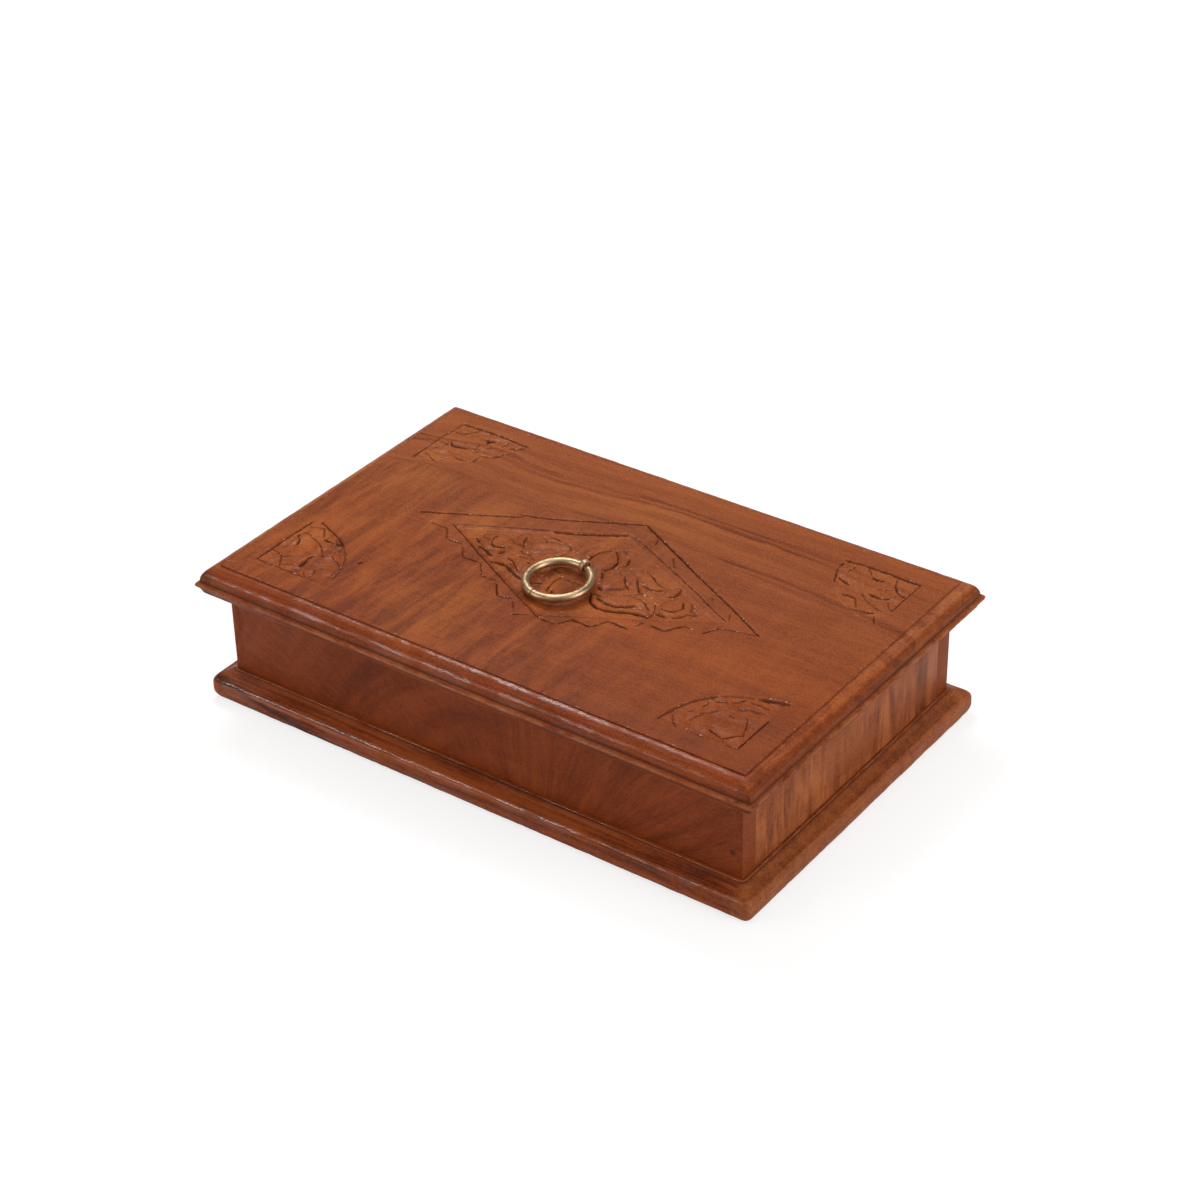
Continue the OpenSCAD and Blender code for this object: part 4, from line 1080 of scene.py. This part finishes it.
def filler_material():
    n = material_nodes("nail_filler")
    crumbs = n.grain(1.5, (1, 2, 3), 3, 0.6)
    x, _, z = n.parts(n.coords)
    matched = n.ramp(crumbs, [(0.35, DARK), (0.65, (0.2, 0.045, 0.012))])
    low_right = x.between(0.0, 0.01) * z.between(0.04, 0.03)
    n.shade({"Base Color": n.mix(low_right, matched, DEEP), "Roughness": 0.7, "Specular IOR Level": 0.2,
             "Normal": n.bump(crumbs, 0.1, 0.5)})
    return n.owner


def dress(piece, material, body, slot, *nodes):
    piece.data.materials.clear()
    piece.data.materials.append(material)
    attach(piece, body)
    if nodes:
        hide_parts(*nodes)


pull_brass = metal("pull_brass", (0.72, 0.52, 0.31), (0.42, 0.27, 0.145), 0.31, (0.8, 0.8, 3.5))
hinge_brass = metal("hinge_brass", (0.58, 0.41, 0.18), (0.33, 0.21, 0.09), 0.28, (0.05, 2.5, 2.5))
screw_brass = metal("screw_brass", (0.55, 0.38, 0.16), (0.3, 0.2, 0.08), 0.28, 1.5)
nail_steel = metal("nail_steel", (0.13, 0.11, 0.1), (0.06, 0.045, 0.04), 0.4, 1.5)

lid = build_lid()
cut_away(lid, hinge_room())
dress(lid, lid_material(), "lid", "lid_wood", "lid_board")
dress(build_base(), base_material(), "box", "base_wood", "base_board")
for sides, wood, slot in ((("front", "back"), crotch_material(), "long_wall_wood"),
                          (("left", "right"), ribbon_material(), "short_wall_wood")):
    for side in sides:
        dress(softened(side + "_wall", side + "_board"), wood, "box", slot, side + "_wall")
dress(build_filler(), filler_material(), "box", "long_wall_wood")
dress(build_ring(), pull_brass, "ring", "pull_brass", "ring_pull")
dress(build_eye(), pull_brass, "lid", "pull_brass", "ring_eye")

# CAD nodes that stay get their material in their own slots
KEPT = {"wall_nails": nail_steel, "base_screws": screw_brass, "box_leaf_screws": screw_brass,
        "lid_leaf_screws": screw_brass}
KEPT.update({f"{side}_hinge_{part}": hinge_brass for side in ("left", "right")
             for part in ("box_leaf", "lid_leaf", "pin")})
for node, material in KEPT.items():
    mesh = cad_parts[node].data
    mesh.materials.clear()
    mesh.materials.append(material)

# Floor and world. The camera sees white, and the floor keeps the box's shadow.
FLOOR_HALF = 3000.0
corners = [(sx * FLOOR_HALF, sy * FLOOR_HALF, 0) for sx, sy in ((-1, -1), (1, -1), (1, 1), (-1, 1))]
floor = make_object("floor", corners, [(0, 1, 2, 3)])
n = material_nodes("pale_floor")
n.shade({"Base Color": (0.86, 0.85, 0.84, 1), "Roughness": 0.9, "Specular IOR Level": 0.1})
glow = n.add("ShaderNodeEmission", {"Color": (1, 1, 1, 1), "Strength": 1.2})
reach = n.add("ShaderNodeVectorMath", {0: n.coords}, "Value", operation="LENGTH")
seen = n.add("ShaderNodeLightPath", {}, "Is Camera Ray") * (reach.between(0.3, 0.75) * 0.38 + 0.62)
both = n.add("ShaderNodeMixShader", {0: seen, 1: Value(n, n.shader.outputs[0]), 2: glow})
n.put(n.tree.nodes["Material Output"].inputs[0], both)
floor.data.materials.append(n.owner)

world = bpy.context.scene.world = bpy.data.worlds.new("studio")
n = Nodes(world, "Background")
seen, through, glossy = (n.add("ShaderNodeLightPath", {}, f"Is {kind} Ray")
                         for kind in ("Camera", "Transmission", "Glossy"))
n.shade({"Color": (1, 1, 1, 1), "Strength": n.math("MAXIMUM", seen, through) * 0.6 + 0.4 - glossy * 0.2})

for name, place, size, power in (("key", (-0.6, 0.5, 1.25), (0.4, 0.4), 7), ("top", (0.1, -0.1, 1.5), (1.2, 1.0), 5),
                                 ("right", (1.3, 0.1, 0.5), (0.6, 0.6), 7),
                                 ("front_left", (-0.62, -0.99, 0.54), (0.62, 0.09), 3)):
    light = bpy.data.lights.new(name, "AREA")
    light.shape = "RECTANGLE"
    light.size, light.size_y = size
    light.energy = power
    lamp = bpy.data.objects.new(name, light)
    bpy.context.scene.collection.objects.link(lamp)
    lamp.location = place
    lamp.rotation_euler = (Vector((0, 0, 0.04)) - Vector(place)).to_track_quat("-Z", "Y").to_euler()

# Camera at the photograph's angle
AZIMUTH, ELEVATION, ROLL = math.radians(36.264), math.radians(32.955), math.radians(-1.188)
FOCAL, FRAME_PIXELS, SENSOR = 2860.5, 1200, 36.0
DISTANCE, SHIFT_RIGHT, SHIFT_UP = 1335.6, 4.864, 48.32
back_way = Vector((math.sin(AZIMUTH) * math.cos(ELEVATION), -math.cos(AZIMUTH) * math.cos(ELEVATION),
                   math.sin(ELEVATION)))
right_way = Vector((math.cos(AZIMUTH), math.sin(AZIMUTH), 0))
up_way = back_way.cross(right_way)
cam_x = math.cos(ROLL) * right_way + math.sin(ROLL) * up_way
cam_y = -math.sin(ROLL) * right_way + math.cos(ROLL) * up_way
lens = bpy.data.cameras.new("camera")
lens.sensor_width = SENSOR
lens.lens = FOCAL / FRAME_PIXELS * SENSOR
lens.clip_start, lens.clip_end = 0.05, 20
camera = bpy.data.objects.new("camera", lens)
bpy.context.scene.collection.objects.link(camera)
spot = (SHIFT_RIGHT * cam_x + SHIFT_UP * cam_y + DISTANCE * back_way) * MM
turn = Matrix((cam_x, cam_y, back_way)).transposed()
camera.matrix_world = Matrix.Translation(spot) @ turn.to_4x4()
bpy.context.scene.camera = camera
bpy.context.scene.view_settings.view_transform = "Standard"
